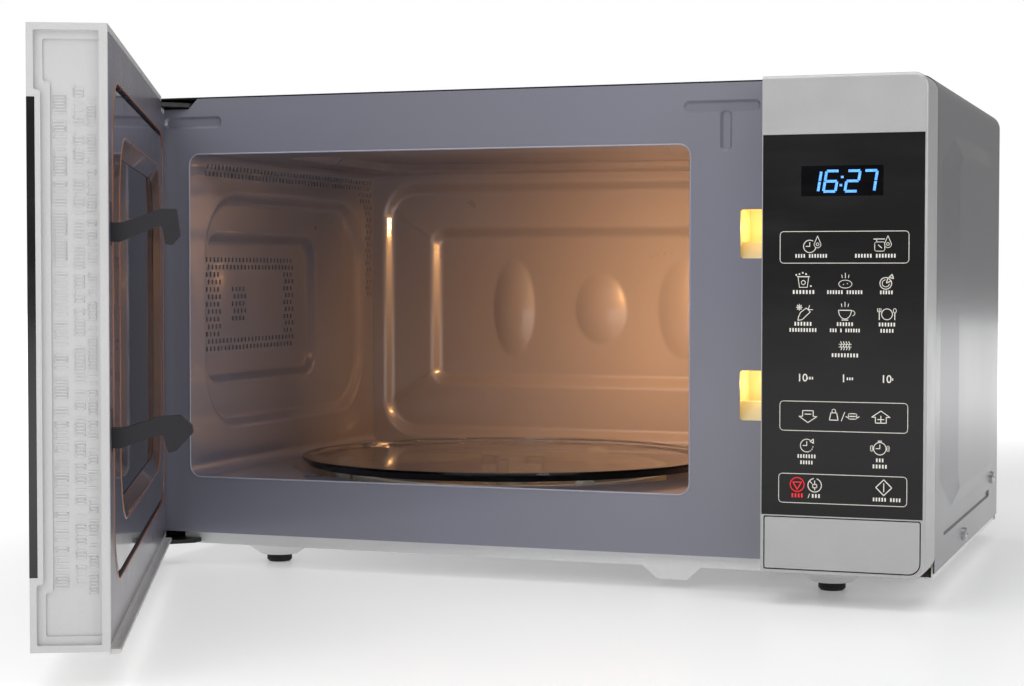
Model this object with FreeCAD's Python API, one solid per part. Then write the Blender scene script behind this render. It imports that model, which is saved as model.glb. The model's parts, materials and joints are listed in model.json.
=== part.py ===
"""Compact microwave oven with a side-hung door, a touch panel and a turntable, in millimetres.

The oven is drawn with x from the casing's left side, y from the front plate's face towards the back
and z from the surface it stands on. save() moves every piece to the part's own frame, whose origin
is on the standing surface under the middle of the casing. The door is drawn closed and is then
turned about its hinge to its rest position, standing open.
"""
import FreeCAD, Part
import math
import os

Vec = FreeCAD.Vector
os.makedirs("parts", exist_ok=True)

# Driving dimensions of the casing
WIDTH = 440.0
DEPTH = 272.0
TOP = 259.5
CASING_BOTTOM = 14.7
CASING_CORNER = 8.5
SHEET = 0.8
PLATE_BOTTOM = 18.0
PROJECTION = 31.3

# Oven cavity, inside faces
CAVITY_LEFT, CAVITY_RIGHT = 29.4, 315.6
CAVITY_FLOOR, CAVITY_TOP = 49.2, 227.9
CAVITY_DEPTH = 256.0
CAVITY_CORNER = 6.0
CAVITY_BEND = 7.0

# Door and its hinge
DOOR_RIGHT = 359.5
DOOR_BOTTOM, DOOR_TOP = 15.5, 257.9
DOOR_BACK = -0.5
DOOR_OPEN = 64.28
HINGE_X, HINGE_Y = 7.9, -10.7
PIN_RADIUS = 2.5
RUNNING = 0.05
GLASS_BOTTOM, GLASS_TOP = 44.6, 229.6
GLASS_THICK = 3.2
DOOR_BACK_CORNER = 7.0
TRAY_LEFT = 6.8
COVER_PROUD = 0.1
WINDOW_DROP = 3.0

# Control panel
PANEL_LEFT = 359.9
PANEL_BOTTOM, PANEL_TOP = 15.8, 258.1
PANEL_CORNER = 7.0
WALL = 2.5

# Door catch
HOOK_LEFT, HOOK_RIGHT = 345.0, 351.0
SLOT_LEFT, SLOT_RIGHT = 341.9, 357.0
UPPER_SLOT = (169.9, 194.6)
LOWER_SLOT = (88.0, 113.3)
CATCH_LEFT, CATCH_RIGHT = 337.0, 362.0
CATCH_TRAVEL = 6.5

# Turntable
TABLE_X, TABLE_Y = 172.5, 128.0
TABLE_RADIUS = 122.5
WELL_RADIUS = 127.0
WELL_DEPTH = 13.6
ROLLER_RADIUS = 6.6
ROLLER_CIRCLE = 98.0
ROLLER_WIDTH = 7.8
ROLLERS = 3

# Feet and base
BASE_BOTTOM = 11.0
BASE_FRONT = 7.2
FOOT_RADIUS = 7.0
FOOT_FORM_DEPTH = 6.5
FEET = {
    "foot_front_left": (70.0, 29.0),
    "foot_front_right": (384.0, 29.0),
    "foot_back_left": (70.0, 243.0),
    "foot_back_right": (384.0, 243.0),
}

# Machine compartment, to the right of the cavity
ROOM_LEFT = CAVITY_RIGHT + SHEET
GUIDE_Y = 100.0
MAGNETRON_Z = 176.0
FAN_X, FAN_Z, FAN_RADIUS = 378.0, 176.0, 44.0
SHAFT_RADIUS = 2.0

# How far in and how far down each line of a soft pressing's slope lies
PRESS_EDGE = [(0.0, 0.0), (0.12, 0.03), (0.27, 0.14), (0.42, 0.36),
              (0.58, 0.64), (0.73, 0.86), (0.88, 0.97), (1.0, 1.0)]

NORMAL = {"front": Vec(0, 1, 0), "side": Vec(1, 0, 0), "floor": Vec(0, 0, 1)}
AXIS = {"x": Vec(1, 0, 0), "y": Vec(0, 1, 0), "z": Vec(0, 0, 1)}
INFINITY = 1000.0


# Helpers

def box(x0, x1, y0, y1, z0, z1):
    return Part.makeBox(x1 - x0, y1 - y0, z1 - z0, Vec(x0, y0, z0))


def rod(x, y, z, axis, radius, length):
    return Part.makeCylinder(radius, length, Vec(x, y, z), AXIS[axis])


def fuse(first, *others):
    return first.fuse(list(others)).removeSplitter()


def place(plane, offset, u, v):
    """Point on a plane: front is x and z, side is y and z, floor is x and y."""
    if plane == "front":
        return Vec(u, offset, v)
    if plane == "side":
        return Vec(offset, u, v)
    return Vec(u, v, offset)


def outline(corners):
    """Closed outline from (u, v, radius) corners, as a function of plane and offset."""
    def wire(plane, offset):
        stops, arcs = [], []
        for i, (u, v, radius) in enumerate(corners):
            here = Vec(u, v, 0)
            before = Vec(*corners[i - 1][:2], 0)
            after = Vec(*corners[(i + 1) % len(corners)][:2], 0)
            if radius <= 0:
                stops.append((here, here))
                arcs.append(None)
                continue
            back, ahead = (before - here).normalize(), (after - here).normalize()
            half = back.getAngle(ahead) / 2
            reach = radius / math.tan(half)
            inward = (back + ahead).normalize()
            stops.append((here + back * reach, here + ahead * reach))
            arcs.append(here + inward * (radius / math.sin(half) - radius))
        edges = []
        for i, (start, end) in enumerate(stops):
            spots = [place(plane, offset, p.x, p.y) for p in (start, end, stops[(i + 1) % len(stops)][0])]
            if arcs[i] is not None:
                middle = place(plane, offset, arcs[i].x, arcs[i].y)
                edges.append(Part.Arc(spots[0], middle, spots[1]).toShape())
            if spots[1].distanceToPoint(spots[2]) > 1e-6:
                edges.append(Part.makeLine(spots[1], spots[2]))
        return Part.Wire(edges)
    return wire


def rectangle(u0, u1, v0, v1, radius=0.0):
    return outline([(u0, v0, radius), (u1, v0, radius), (u1, v1, radius), (u0, v1, radius)])


def inset_outline(sizes, inset):
    """Outline of a (u0, u1, v0, v1, radius) rectangle moved inwards."""
    u0, u1, v0, v1, radius = sizes
    return rectangle(u0 + inset, u1 - inset, v0 + inset, v1 - inset, radius - inset)


def circle(u, v, radius):
    def wire(plane, offset):
        return Part.Wire(Part.makeCircle(radius, place(plane, offset, u, v), NORMAL[plane]))
    return wire


def oval(u, v, half_width, half_height):
    """Ellipse that stands taller than it is wide, on the front plane."""
    def wire(plane, offset):
        centre = place(plane, offset, u, v)
        top = place(plane, offset, u, v + half_height)
        side = place(plane, offset, u + half_width, v)
        return Part.Wire(Part.Ellipse(top, side, centre).toShape())
    return wire


def slab(plane, start, end, outer, *holes):
    """Flat sheet between two offsets of a plane, with holes through it."""
    wires = [shape(plane, start) for shape in (outer, *holes)]
    face = Part.makeFace(wires, "Part::FaceMakerBullseye")
    return face.extrude(NORMAL[plane] * (end - start))


def loft(plane, *sections):
    """Solid through (offset, outline) sections of a plane."""
    return Part.makeLoft([shape(plane, offset) for offset, shape in sections], True, True)


def pressed(sheet, plane, hollow_face, way, wide, narrow, depth):
    """A form pressed into a sheet: its hollow opens on hollow_face and it bulges by way * depth."""
    back_face = hollow_face + way * SHEET
    bulge = loft(plane, (back_face, wide), (back_face + way * depth, narrow))
    hollow = loft(plane, (hollow_face, wide), (hollow_face + way * depth, narrow))
    return sheet.fuse(bulge).cut(hollow)


def eased(sheet, plane, hollow_face, way, wide, narrow, depth):
    """As pressed, between two (u0, u1, v0, v1, radius) rectangles, with its edges eased in facets."""
    def solid(face):
        sections = []
        for inward, down in PRESS_EDGE:
            sizes = [a + (b - a) * inward for a, b in zip(wide, narrow)]
            sections.append((face + way * depth * down, rectangle(*sizes)))
        return loft(plane, *sections)
    return sheet.fuse(solid(hollow_face + way * SHEET)).cut(solid(hollow_face))


def coil(x, y, z, axis, radius, wire_radius, pitch, length):
    """Helical spring that starts at a point and runs along an axis."""
    path = Part.Wire(Part.makeHelix(pitch, length, radius).Edges)
    ring = Part.Wire(Part.makeCircle(wire_radius, Vec(radius, 0, 0), Vec(0, 1, 0)))
    spring = path.makePipeShell([ring], True, True)
    spring.Placement = FreeCAD.Placement(Vec(x, y, z), FreeCAD.Rotation(AXIS["z"], AXIS[axis]))
    return spring


def screw(x, y, z, axis, way, shank):
    """Pan-head screw whose head sits on a face at the given point and whose shank goes in."""
    head = Part.makeCylinder(3.5, 2.0, Vec(0, 0, 0), AXIS["z"])
    head = head.makeChamfer(0.7, [e for e in head.Edges if abs(e.BoundBox.ZMin - 2.0) < 1e-6])
    cross = box(-2.0, 2.0, -0.4, 0.4, 1.2, 3.0).fuse(box(-0.4, 0.4, -2.0, 2.0, 1.2, 3.0))
    body = fuse(head.cut(cross), rod(0, 0, -shank, "z", 1.9, shank))
    turn = FreeCAD.Rotation(AXIS["z"], AXIS[axis] * way)
    body.Placement = FreeCAD.Placement(Vec(x, y, z), turn)
    return body


def save(name, *solids):
    """Move a piece to the part's own frame and write its file."""
    shape = solids[0] if len(solids) == 1 else Part.makeCompound(list(solids))
    shape = shape.copy()
    shape.translate(Vec(-WIDTH / 2, -DEPTH / 2, 0))
    for solid in shape.Solids:
        if not solid.isValid():
            raise ValueError(name + " is not a valid solid")
    shape.exportStep("parts/" + name + ".step")
    print(name, len(shape.Solids), round(shape.Volume / 1000, 2), "cm3")


def swung(shape):
    """Turn a door piece, drawn closed, to its rest position."""
    turned = shape.copy()
    turned.rotate(Vec(HINGE_X, HINGE_Y, 0), AXIS["z"], -DOOR_OPEN)
    return turned


def save_on_door(name, *solids):
    save(name, *[swung(solid) for solid in solids])


# Casing

SIDE_SCREWS = [(113.0, 21.0), (240.0, 40.0)]
REAR_SCREWS = [(14.0, 30.0), (14.0, 240.0), (220.0, 249.0), (426.0, 30.0), (426.0, 240.0)]


def make_wrapper():
    corner = CASING_CORNER
    outer = outline([(0, CASING_BOTTOM, 0), (WIDTH, CASING_BOTTOM, 0), (WIDTH, TOP, corner),
                     (0, TOP, corner)])
    inset = corner - SHEET
    inner = outline([(SHEET, 0, 0), (WIDTH - SHEET, 0, 0), (WIDTH - SHEET, TOP - SHEET, inset),
                     (SHEET, TOP - SHEET, inset)])
    shell = slab("front", 0, DEPTH, outer).cut(slab("front", -1, DEPTH + 1, inner))
    raised = [(16, 59), (16, 217), (60, 233), (214, 234), (256, 217), (256, 59), (219, 41.5), (61, 41.5)]
    crown = [(64, 58), (64, 215), (76, 223), (216, 224), (230, 215), (230, 58), (222, 50.5), (72, 50.5)]
    wide = outline([(u, v, 0) for u, v in raised])
    narrow = outline([(u, v, 0) for u, v in crown])
    bead, bead_floor = rectangle(32, 230, 29.6, 34.0, 2.1), rectangle(33, 229, 30.6, 33.0, 1.1)
    for face, way in ((SHEET, -1), (WIDTH - SHEET, 1)):
        shell = pressed(shell, "side", face, way, wide, narrow, 3.0)
        shell = pressed(shell, "side", face + way * SHEET, -way, bead, bead_floor, 1.0)
        for y, z in SIDE_SCREWS:
            shell = shell.cut(rod(face - 3, y, z, "x", 2.0, 6))
    save("wrapper", shell.removeSplitter())


def make_front_plate():
    inset = CASING_CORNER - SHEET
    left, right, top = SHEET, WIDTH - SHEET, TOP - SHEET
    notch = 253.0
    outer = outline([(left, PLATE_BOTTOM, 0), (right, PLATE_BOTTOM, 0), (right, top, inset),
                     (34.5, top, 0), (28.9, notch, 0), (left, notch, 2.5)])
    mouth = rectangle(CAVITY_LEFT, CAVITY_RIGHT, CAVITY_FLOOR, CAVITY_TOP, CAVITY_CORNER)
    upper = rectangle(SLOT_LEFT, SLOT_RIGHT, *UPPER_SLOT, 1.5)
    lower = rectangle(SLOT_LEFT, SLOT_RIGHT, *LOWER_SLOT, 1.5)
    board = rectangle(372, 430, 62, 216, 4)
    button = rectangle(363.5, 375, 22, 45, 2)
    plate = slab("front", 0, SHEET, outer, mouth, upper, lower, board, button)
    grooves = [(312, 352, 243.8, 250.0), (331.2, 337.4, 224.0, 245.5), (14, 49.3, 242.3, 248.9)]
    for x0, x1, z0, z1 in grooves:
        wide = rectangle(x0, x1, z0, z1, 2.9)
        narrow = rectangle(x0 + 1.3, x1 - 1.3, z0 + 1.3, z1 - 1.3, 1.6)
        plate = pressed(plate, "front", 0, 1, wide, narrow, 1.5)
    lip = box(left + 20, right - 20, 0, BASE_FRONT, PLATE_BOTTOM, PLATE_BOTTOM + SHEET)
    save("front_plate", fuse(plate, lip))


def cavity_side(left):
    """Side wall of the cavity with its two bends, as a channel."""
    outer = rectangle(CAVITY_LEFT - SHEET, CAVITY_RIGHT + SHEET, CAVITY_FLOOR - SHEET, CAVITY_TOP + SHEET,
                      CAVITY_CORNER + SHEET)
    inner = rectangle(CAVITY_LEFT, CAVITY_RIGHT, CAVITY_FLOOR, CAVITY_TOP, CAVITY_CORNER)
    ring = slab("front", SHEET, CAVITY_DEPTH, outer, inner)
    edge = CAVITY_LEFT + CAVITY_BEND if left else CAVITY_RIGHT - CAVITY_BEND
    keep = box(-10, edge, 0, 300, 0, 300) if left else box(edge, WIDTH, 0, 300, 0, 300)
    return ring.common(keep)


def hole_grid(x, rows):
    """Small upright slots through a side wall at (y, z) points."""
    return [slab("side", x - 12, x + 3, rectangle(y - 0.9, y + 0.9, z - 1.4, z + 1.4, 0.5)) for y, z in rows]


def steam_slots():
    """Two staggered rows under the ceiling that step down into two columns near the back."""
    pitch, drop = 4.5, 4.1
    starts = [21.0, 18.8, 229.0, 234.0, 238.5]
    rows = []
    for row in range(19):
        z = 222.6 - drop * row
        shift = 0.0 if row % 2 == 0 else -pitch / 2
        start = starts[row] if row < len(starts) else 243.0
        columns = int((251.0 - start) / pitch) + 1
        rows += [(251.0 + shift - pitch * i, z) for i in range(columns)]
    return rows


def wall_ring():
    """Square ring of slots with a small block in its middle, inside the wall's pressing."""
    pitch, drop = 4.6, 4.3
    rows = []
    for i in range(26):
        for j in range(13):
            y, z = 32.0 + pitch * i, 118.5 + drop * j
            in_ring = j < 2 or j > 10 or i < 5 or i > 22
            in_block = 8 <= i <= 11 and 4 <= j <= 8
            if in_ring or in_block:
                rows.append((y + (pitch / 2 if j % 2 else 0), z))
    return rows


def make_cavity():
    step = 4.5
    wall = cavity_side(True)
    wall = eased(wall, "side", CAVITY_LEFT, -1, (17, 241, 71, 210, 40), (25, 232, 80, 201, 31), step)
    wall = eased(wall, "side", CAVITY_LEFT - step, -1, (27, 176, 97, 187, 16), (31, 167, 106, 178, 7), step)
    save("cavity_left_wall", wall.cut(hole_grid(CAVITY_LEFT, steam_slots() + wall_ring())).removeSplitter())

    wall = cavity_side(False)
    wall = eased(wall, "side", CAVITY_RIGHT, 1, (160, 235, 80, 200, 20), (168, 227, 88, 192, 14), 4.0)
    window = slab("side", CAVITY_RIGHT - 2, CAVITY_RIGHT + 3,
                  rectangle(GUIDE_Y - 32, GUIDE_Y + 32, 98, 130, 3))
    lamp = [(12.0 + 4.6 * i, 196.0 + 4.6 * j) for i in range(10) for j in range(5)]
    slots = [slab("side", CAVITY_RIGHT - 2, CAVITY_RIGHT + 3, circle(y, z, 1.5)) for y, z in lamp]
    save("cavity_right_wall", wall.cut([window] + slots).removeSplitter())

    x0, x1 = CAVITY_LEFT + CAVITY_BEND, CAVITY_RIGHT - CAVITY_BEND
    top = slab("floor", CAVITY_TOP, CAVITY_TOP + SHEET, rectangle(x0, x1, SHEET, CAVITY_DEPTH))
    top = eased(top, "floor", CAVITY_TOP, 1, (62, 283, 40, 216, 24), (70, 275, 48, 208, 18), 4.0)
    save("cavity_ceiling", top.removeSplitter())

    well = WELL_RADIUS - 6
    floor = slab("floor", CAVITY_FLOOR - SHEET, CAVITY_FLOOR, rectangle(x0, x1, SHEET, CAVITY_DEPTH))
    floor = pressed(floor, "floor", CAVITY_FLOOR, -1, circle(TABLE_X, TABLE_Y, WELL_RADIUS),
                    circle(TABLE_X, TABLE_Y, well), WELL_DEPTH)
    shaft_hole = rod(TABLE_X, TABLE_Y, 20, "z", 9.0, 30)
    save("cavity_floor", floor.cut(shaft_hole).removeSplitter())

    back = slab("front", CAVITY_DEPTH, CAVITY_DEPTH + SHEET,
                rectangle(CAVITY_LEFT - SHEET, CAVITY_RIGHT + SHEET, CAVITY_FLOOR - SHEET, CAVITY_TOP + SHEET,
                          CAVITY_CORNER + SHEET))
    back = eased(back, "front", CAVITY_DEPTH, 1, (36, 309, 53, 223, 24), (44, 301, 61, 215, 16), step)
    back = eased(back, "front", CAVITY_DEPTH + step, 1, (68, 277, 87, 194, 12), (77, 268, 96, 185, 3), step)
    swell_face = CAVITY_DEPTH + 2 * step + SHEET
    for x, half_width, half_height in ((127, 14.5, 32), (187, 17.5, 23), (243, 17, 32)):
        back = pressed(back, "front", swell_face, -1, oval(x, 139.5, half_width, half_height),
                       oval(x, 139.5, half_width - 8, half_height - 11), 2.6)
    save("cavity_back_wall", back.removeSplitter())

    save("waveguide_cover", slab("side", CAVITY_RIGHT - 0.5, CAVITY_RIGHT,
                                 rectangle(GUIDE_Y - 38, GUIDE_Y + 38, 92, 136, 4)))


def make_base():
    sheet = slab("floor", BASE_BOTTOM, BASE_BOTTOM + SHEET,
                 rectangle(SHEET + 1, WIDTH - SHEET - 1, BASE_FRONT, DEPTH - SHEET))
    for x, y in FEET.values():
        sheet = pressed(sheet, "floor", BASE_BOTTOM + SHEET, -1, circle(x, y, 20), circle(x, y, 10.5),
                        FOOT_FORM_DEPTH)
        sheet = sheet.cut(rod(x, y, 0, "z", 3.0, 20))
    front = slab("front", BASE_FRONT, BASE_FRONT + SHEET,
                 outline([(22, BASE_BOTTOM, 0), (289, BASE_BOTTOM, 0), (297, 4.2, 3), (313, 4.2, 3),
                          (320, BASE_BOTTOM, 0), (418, BASE_BOTTOM, 0), (418, PLATE_BOTTOM, 0),
                          (22, PLATE_BOTTOM, 0)]))
    sides = [box(x, x + SHEET, BASE_FRONT, DEPTH - SHEET, BASE_BOTTOM + SHEET, 28)
             for x in (SHEET + 1, WIDTH - 2 * SHEET - 1)]
    sheet = fuse(sheet, front, *sides)
    slots = [slab("floor", 5, 20, rectangle(x - 1.5, x + 1.5, 60, 100, 1.4)) for x in range(340, 421, 8)]
    side_holes = [rod(-5, y, z, "x", 2.0, WIDTH + 10) for y, z in SIDE_SCREWS if z < 28]
    save("base_plate", sheet.cut(slots + side_holes).removeSplitter())

    under = BASE_BOTTOM - FOOT_FORM_DEPTH
    for name, (x, y) in FEET.items():
        pad = Part.makeCone(FOOT_RADIUS - 1.2, FOOT_RADIUS, 1.2, Vec(x, y, 0))
        body = fuse(pad, rod(x, y, 1.2, "z", FOOT_RADIUS, under - 1.2), rod(x, y, under, "z", 2.9, 3.5))
        save(name, body)


def make_rear():
    y0, y1 = DEPTH - SHEET, DEPTH
    inset = CASING_CORNER - SHEET
    left, right, top = SHEET, WIDTH - SHEET, TOP - SHEET
    outer = outline([(left, BASE_BOTTOM, 0), (right, BASE_BOTTOM, 0), (right, top, inset),
                     (left, top, inset)])
    vents = [rectangle(FAN_X - 36 + 9 * i, FAN_X - 33 + 9 * i, FAN_Z - 36, FAN_Z + 36, 1.4) for i in range(9)]
    steam = [rectangle(60 + 9 * i, 63 + 9 * i, 196, 236, 1.4) for i in range(14)]
    gland = circle(404, 52, 9)
    screws = [circle(x, z, 2.0) for x, z in REAR_SCREWS]
    save("rear_panel", slab("front", y0, y1, outer, *vents, *steam, gland, *screws))
    for name, x in (("rear_spacer_left", 90.0), ("rear_spacer_right", 330.0)):
        block = slab("front", y1, y1 + 3, rectangle(x - 16, x + 16, 30, 62, 4))
        save(name, fuse(block, slab("front", y1 + 3, y1 + 15, rectangle(x - 9, x + 9, 37, 55, 6))))
    flange = slab("front", y1, y1 + 2, circle(404, 52, 12), circle(404, 52, 4.6))
    sleeve = slab("front", y1 + 2, y1 + 11, circle(404, 52, 7.5), circle(404, 52, 4.6))
    plug = slab("front", y0 - 6, y1, circle(404, 52, 8.9), circle(404, 52, 4.6))
    save("cord_inlet", fuse(flange, sleeve, plug))


def make_screws():
    sides = [screw(x, y, z, "x", way, 3.0)
             for x, way in ((0, -1), (WIDTH, 1)) for y, z in SIDE_SCREWS]
    rear = [screw(x, DEPTH, z, "y", 1, 3.0) for x, z in REAR_SCREWS]
    save("casing_screws", *sides, *rear)


# Turntable and its drive

def make_turntable():
    floor = CAVITY_FLOOR - WELL_DEPTH
    case = rod(TABLE_X, TABLE_Y, 17.0, "z", 24.0, floor - SHEET - 17.0 - 0.4)
    ears = slab("floor", 32.0, 33.6, rectangle(TABLE_X - 34, TABLE_X + 34, TABLE_Y - 6, TABLE_Y + 6, 5.9))
    shaft_room = rod(TABLE_X, TABLE_Y, 0, "z", 3.0 + RUNNING, 60)
    save("turntable_motor", fuse(case, ears).cut(shaft_room))

    shaft = rod(TABLE_X, TABLE_Y, 18.0, "z", 3.0, 28.0)
    save("turntable_shaft", shaft)
    hub = rod(TABLE_X, TABLE_Y, floor + 0.6, "z", 8.0, 12.0)
    arms = []
    for i in range(3):
        arm = box(TABLE_X + 4, TABLE_X + 19, TABLE_Y - 3, TABLE_Y + 3, 39.0, 45.6)
        arm.rotate(Vec(TABLE_X, TABLE_Y, 0), AXIS["z"], 120 * i)
        arms.append(arm)
    save("turntable_coupler", fuse(hub, *arms).cut(shaft))

    under = 49.4
    profile = [(0, under), (TABLE_RADIUS - 14, under), (TABLE_RADIUS - 4, under + 1.2),
               (TABLE_RADIUS, under + 5.0), (TABLE_RADIUS - 0.6, under + 6.2),
               (TABLE_RADIUS - 5.2, under + 6.2), (TABLE_RADIUS - 15, under + 4.2), (0, under + 4.2)]
    face = Part.Face(Part.makePolygon([Vec(TABLE_X + r, TABLE_Y, z) for r, z in profile + profile[:1]]))
    glass = face.revolve(Vec(TABLE_X, TABLE_Y, 0), AXIS["z"], 360)
    lugs = []
    for i in range(3):
        lug = box(TABLE_X + 11, TABLE_X + 21, TABLE_Y - 2.5, TABLE_Y + 2.5, 41.0, under + 0.5)
        lug.rotate(Vec(TABLE_X, TABLE_Y, 0), AXIS["z"], 120 * i + 35)
        lugs.append(lug)
    save("glass_turntable", fuse(glass, *lugs))

    axle_z = floor + ROLLER_RADIUS + 0.3
    ring = slab("floor", axle_z - 2.5, axle_z + 3.0, circle(TABLE_X, TABLE_Y, 93),
                circle(TABLE_X, TABLE_Y, 87))
    spokes, rollers = [], []
    for i in range(ROLLERS):
        inner_end = TABLE_X + ROLLER_CIRCLE - ROLLER_WIDTH / 2
        axle = rod(TABLE_X + 90, TABLE_Y, axle_z, "x", 1.8, 13.5)
        stop = rod(inner_end + ROLLER_WIDTH + 0.4, TABLE_Y, axle_z, "x", 2.6, 1.6)
        roller = rod(inner_end, TABLE_Y, axle_z, "x", ROLLER_RADIUS, ROLLER_WIDTH)
        roller = roller.makeChamfer(0.6, [e for e in roller.Edges if e.BoundBox.XLength < 1e-6])
        roller = roller.cut(rod(TABLE_X + 90, TABLE_Y, axle_z, "x", 1.8 + RUNNING, 20))
        for piece in (axle, stop, roller):
            piece.rotate(Vec(TABLE_X, TABLE_Y, 0), AXIS["z"], 120 * i + 75)
        spokes += [axle, stop]
        rollers.append(roller)
    save("roller_ring", fuse(ring, *spokes))
    for i, roller in enumerate(rollers):
        save("roller_%d" % (i + 1), roller)


# Door

def door_edge_recess():
    """Shallow stepped panel let into the free edge of the door."""
    inner_border = 3.3
    steps = [(2.7, 5.3, 2.7, 2.2), (6.0, 8.8, 6.0, 3.2)]
    cuts = []
    for border, glass_border, end_border, depth in steps:
        front, glass = -PROJECTION + border, -PROJECTION + glass_border
        z0, z1 = DOOR_BOTTOM + end_border, DOOR_TOP - end_border
        low, high = GLASS_BOTTOM - border, GLASS_TOP + border
        back = DOOR_BACK - inner_border
        shape = outline([(front, z0, 0.8), (back, z0, 0.8), (back, z1, 0.8), (front, z1, 0.8),
                         (front, high, 1.2), (glass, high, 1.2), (glass, low, 1.2), (front, low, 1.2)])
        cuts.append(slab("side", DOOR_RIGHT - depth, DOOR_RIGHT + 1, shape))
    return cuts


def make_door_frame():
    shell = slab("floor", DOOR_BOTTOM, DOOR_TOP,
                 outline([(0, -PROJECTION, 4.0), (DOOR_RIGHT, -PROJECTION, 0.6), (DOOR_RIGHT, DOOR_BACK, 0.6),
                          (0, DOOR_BACK, DOOR_BACK_CORNER)]))
    hollow = box(16, DOOR_RIGHT - 6.5, -PROJECTION + 6.2, 10, DOOR_BOTTOM + 3.2, DOOR_TOP - 3.2)
    tray = box(TRAY_LEFT, DOOR_RIGHT - 1.9, DOOR_BACK - SHEET, 10, DOOR_BOTTOM + 2.6, DOOR_TOP - 2.6)
    glass_seat = box(-1, DOOR_RIGHT + 1, -PROJECTION - 1, -PROJECTION + GLASS_THICK, GLASS_BOTTOM, GLASS_TOP)
    window = slab("front", -PROJECTION - 1, 0, rectangle(46, 316, 60, 216, 12))
    hinge_pocket = box(-1, 31.5, -21, 10, 253.2, 300)
    pins = [rod(HINGE_X, HINGE_Y, 0, "z", PIN_RADIUS + RUNNING, 26),
            rod(HINGE_X, HINGE_Y, 243, "z", PIN_RADIUS + RUNNING, 20)]
    hook_room = box(HOOK_LEFT - 0.4, DOOR_RIGHT - 6.5, -16, 0, 70, 214)
    frame = shell.cut([hollow, tray, glass_seat, window, hinge_pocket, hook_room] + pins + door_edge_recess())
    save_on_door("door_frame", fuse(frame, door_lip()))


def door_lip():
    """Narrow tray-shaped lip along the door's lower edge, which goes under the front plate."""
    reach = 3.4
    low, high = DOOR_BOTTOM - 0.9, DOOR_BOTTOM + 0.9
    lip = box(20, DOOR_RIGHT - 1, DOOR_BACK - 0.5, reach, low, high)
    far = [e for e in lip.Edges if abs(e.BoundBox.YMin - reach) < 1e-6 and e.BoundBox.XLength > 50]
    return lip.makeFillet(0.6, far).cut(box(24, DOOR_RIGHT - 6, 0.6, reach - 0.9, DOOR_BOTTOM + 0.2, high))


def make_door_panels():
    save_on_door("door_glass", slab("front", -PROJECTION, -PROJECTION + GLASS_THICK,
                                    rectangle(0.5, DOOR_RIGHT - 0.1, GLASS_BOTTOM, GLASS_TOP)))

    x0, x1 = TRAY_LEFT + 0.2, DOOR_RIGHT - 2.0
    z0, z1 = DOOR_BOTTOM + 2.8, DOOR_TOP - 2.8
    cover = (21.0, 340.0, 38.0, 238.5, 26.0)
    sheet_outline = outline([(x0, z0, 3), (x1, z0, 3), (x1, z1, 3), (32, z1, 0), (32, 250, 0), (x0, 250, 0)])
    panel = slab("front", DOOR_BACK - SHEET, DOOR_BACK, sheet_outline, rectangle(*cover))
    channel = inset_outline(cover, -SHEET)
    channel_floor = slab("front", DOOR_BACK - 8.8, DOOR_BACK - 8.0, channel, rectangle(60, 301, 72, 205, 14))
    channel_wall = slab("front", DOOR_BACK - 8.0, DOOR_BACK - SHEET, channel, rectangle(*cover))
    hooks = [box(HOOK_LEFT - 0.4, HOOK_RIGHT + 0.4, -20, 5, z - 1.0, z + 9.5 + CATCH_TRAVEL)
             for z in (173.8, 93.2)]
    save_on_door("door_inner_panel", fuse(panel, channel_floor, channel_wall).cut(hooks))

    groove, shoulder = 2.0, 1.2
    face, seat = DOOR_BACK + COVER_PROUD, DOOR_BACK - WINDOW_DROP
    outer = inset_outline(cover, groove)
    edge = inset_outline(cover, groove + shoulder)
    trim = slab("front", DOOR_BACK - 7.8, face - shoulder, outer)
    trim = trim.fuse(loft("front", (face - shoulder, outer), (face, edge)))
    well = loft("front", (face, rectangle(50, 308, 59, 218, 30)), (seat, rectangle(58, 300, 66, 211, 24)))
    opening = slab("front", -20, 10, rectangle(62, 296, 70, 207, 20))
    pane_seat = slab("front", seat - 2.0, seat, rectangle(56, 302, 64, 213, 22))
    save_on_door("door_choke_cover", trim.cut([well, opening, pane_seat]).removeSplitter())
    pane = slab("front", seat - 1.8, seat - 0.2, rectangle(56.2, 301.8, 64.2, 212.8, 22))
    save_on_door("door_window", pane)

    pitch, row_pitch, hole = 7.4, 6.4, 2.4
    holes = [circle(70 + pitch * (i + j % 2 / 2), 78 + row_pitch * j, hole)
             for i in range(30) for j in range(20)]
    screen = slab("front", DOOR_BACK - 9.6, DOOR_BACK - 8.8, rectangle(50, 311, 62, 215, 16), *holes)
    save_on_door("door_screen", screen)


def hook_profile(points):
    return slab("side", HOOK_LEFT, HOOK_RIGHT, outline(points))


def make_door_catch():
    bar = box(HOOK_LEFT, HOOK_RIGHT, -15.0, -9.0, 78, 200)
    upper = hook_profile([(-10, 174.3, 0), (3, 174.3, 2), (17, 180.3, 1), (19.3, 180.3, 0.8),
                          (20.5, 173.4, 0.8), (23, 173.0, 1), (26.2, 177, 0.8), (24.8, 187.2, 0.5),
                          (18.5, 187.2, 2), (4, 181.8, 2), (-10, 181.8, 0)])
    lower = hook_profile([(-10, 93.8, 0), (3, 93.8, 2), (17, 98.7, 1), (19.3, 98.7, 0.8), (21.3, 91.7, 0.8),
                          (24.5, 92.6, 3), (30.9, 99.6, 1), (30.6, 102.3, 0.8), (25.9, 106.4, 0.5),
                          (18.0, 106.0, 2), (4, 101.6, 2), (-10, 101.6, 0)])
    save_on_door("latch_hooks", fuse(bar, upper, lower))
    save_on_door("latch_spring", coil(348.0, -12.0, 200.6, "z", 2.4, 0.4, 2.2, 12.0))


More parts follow.
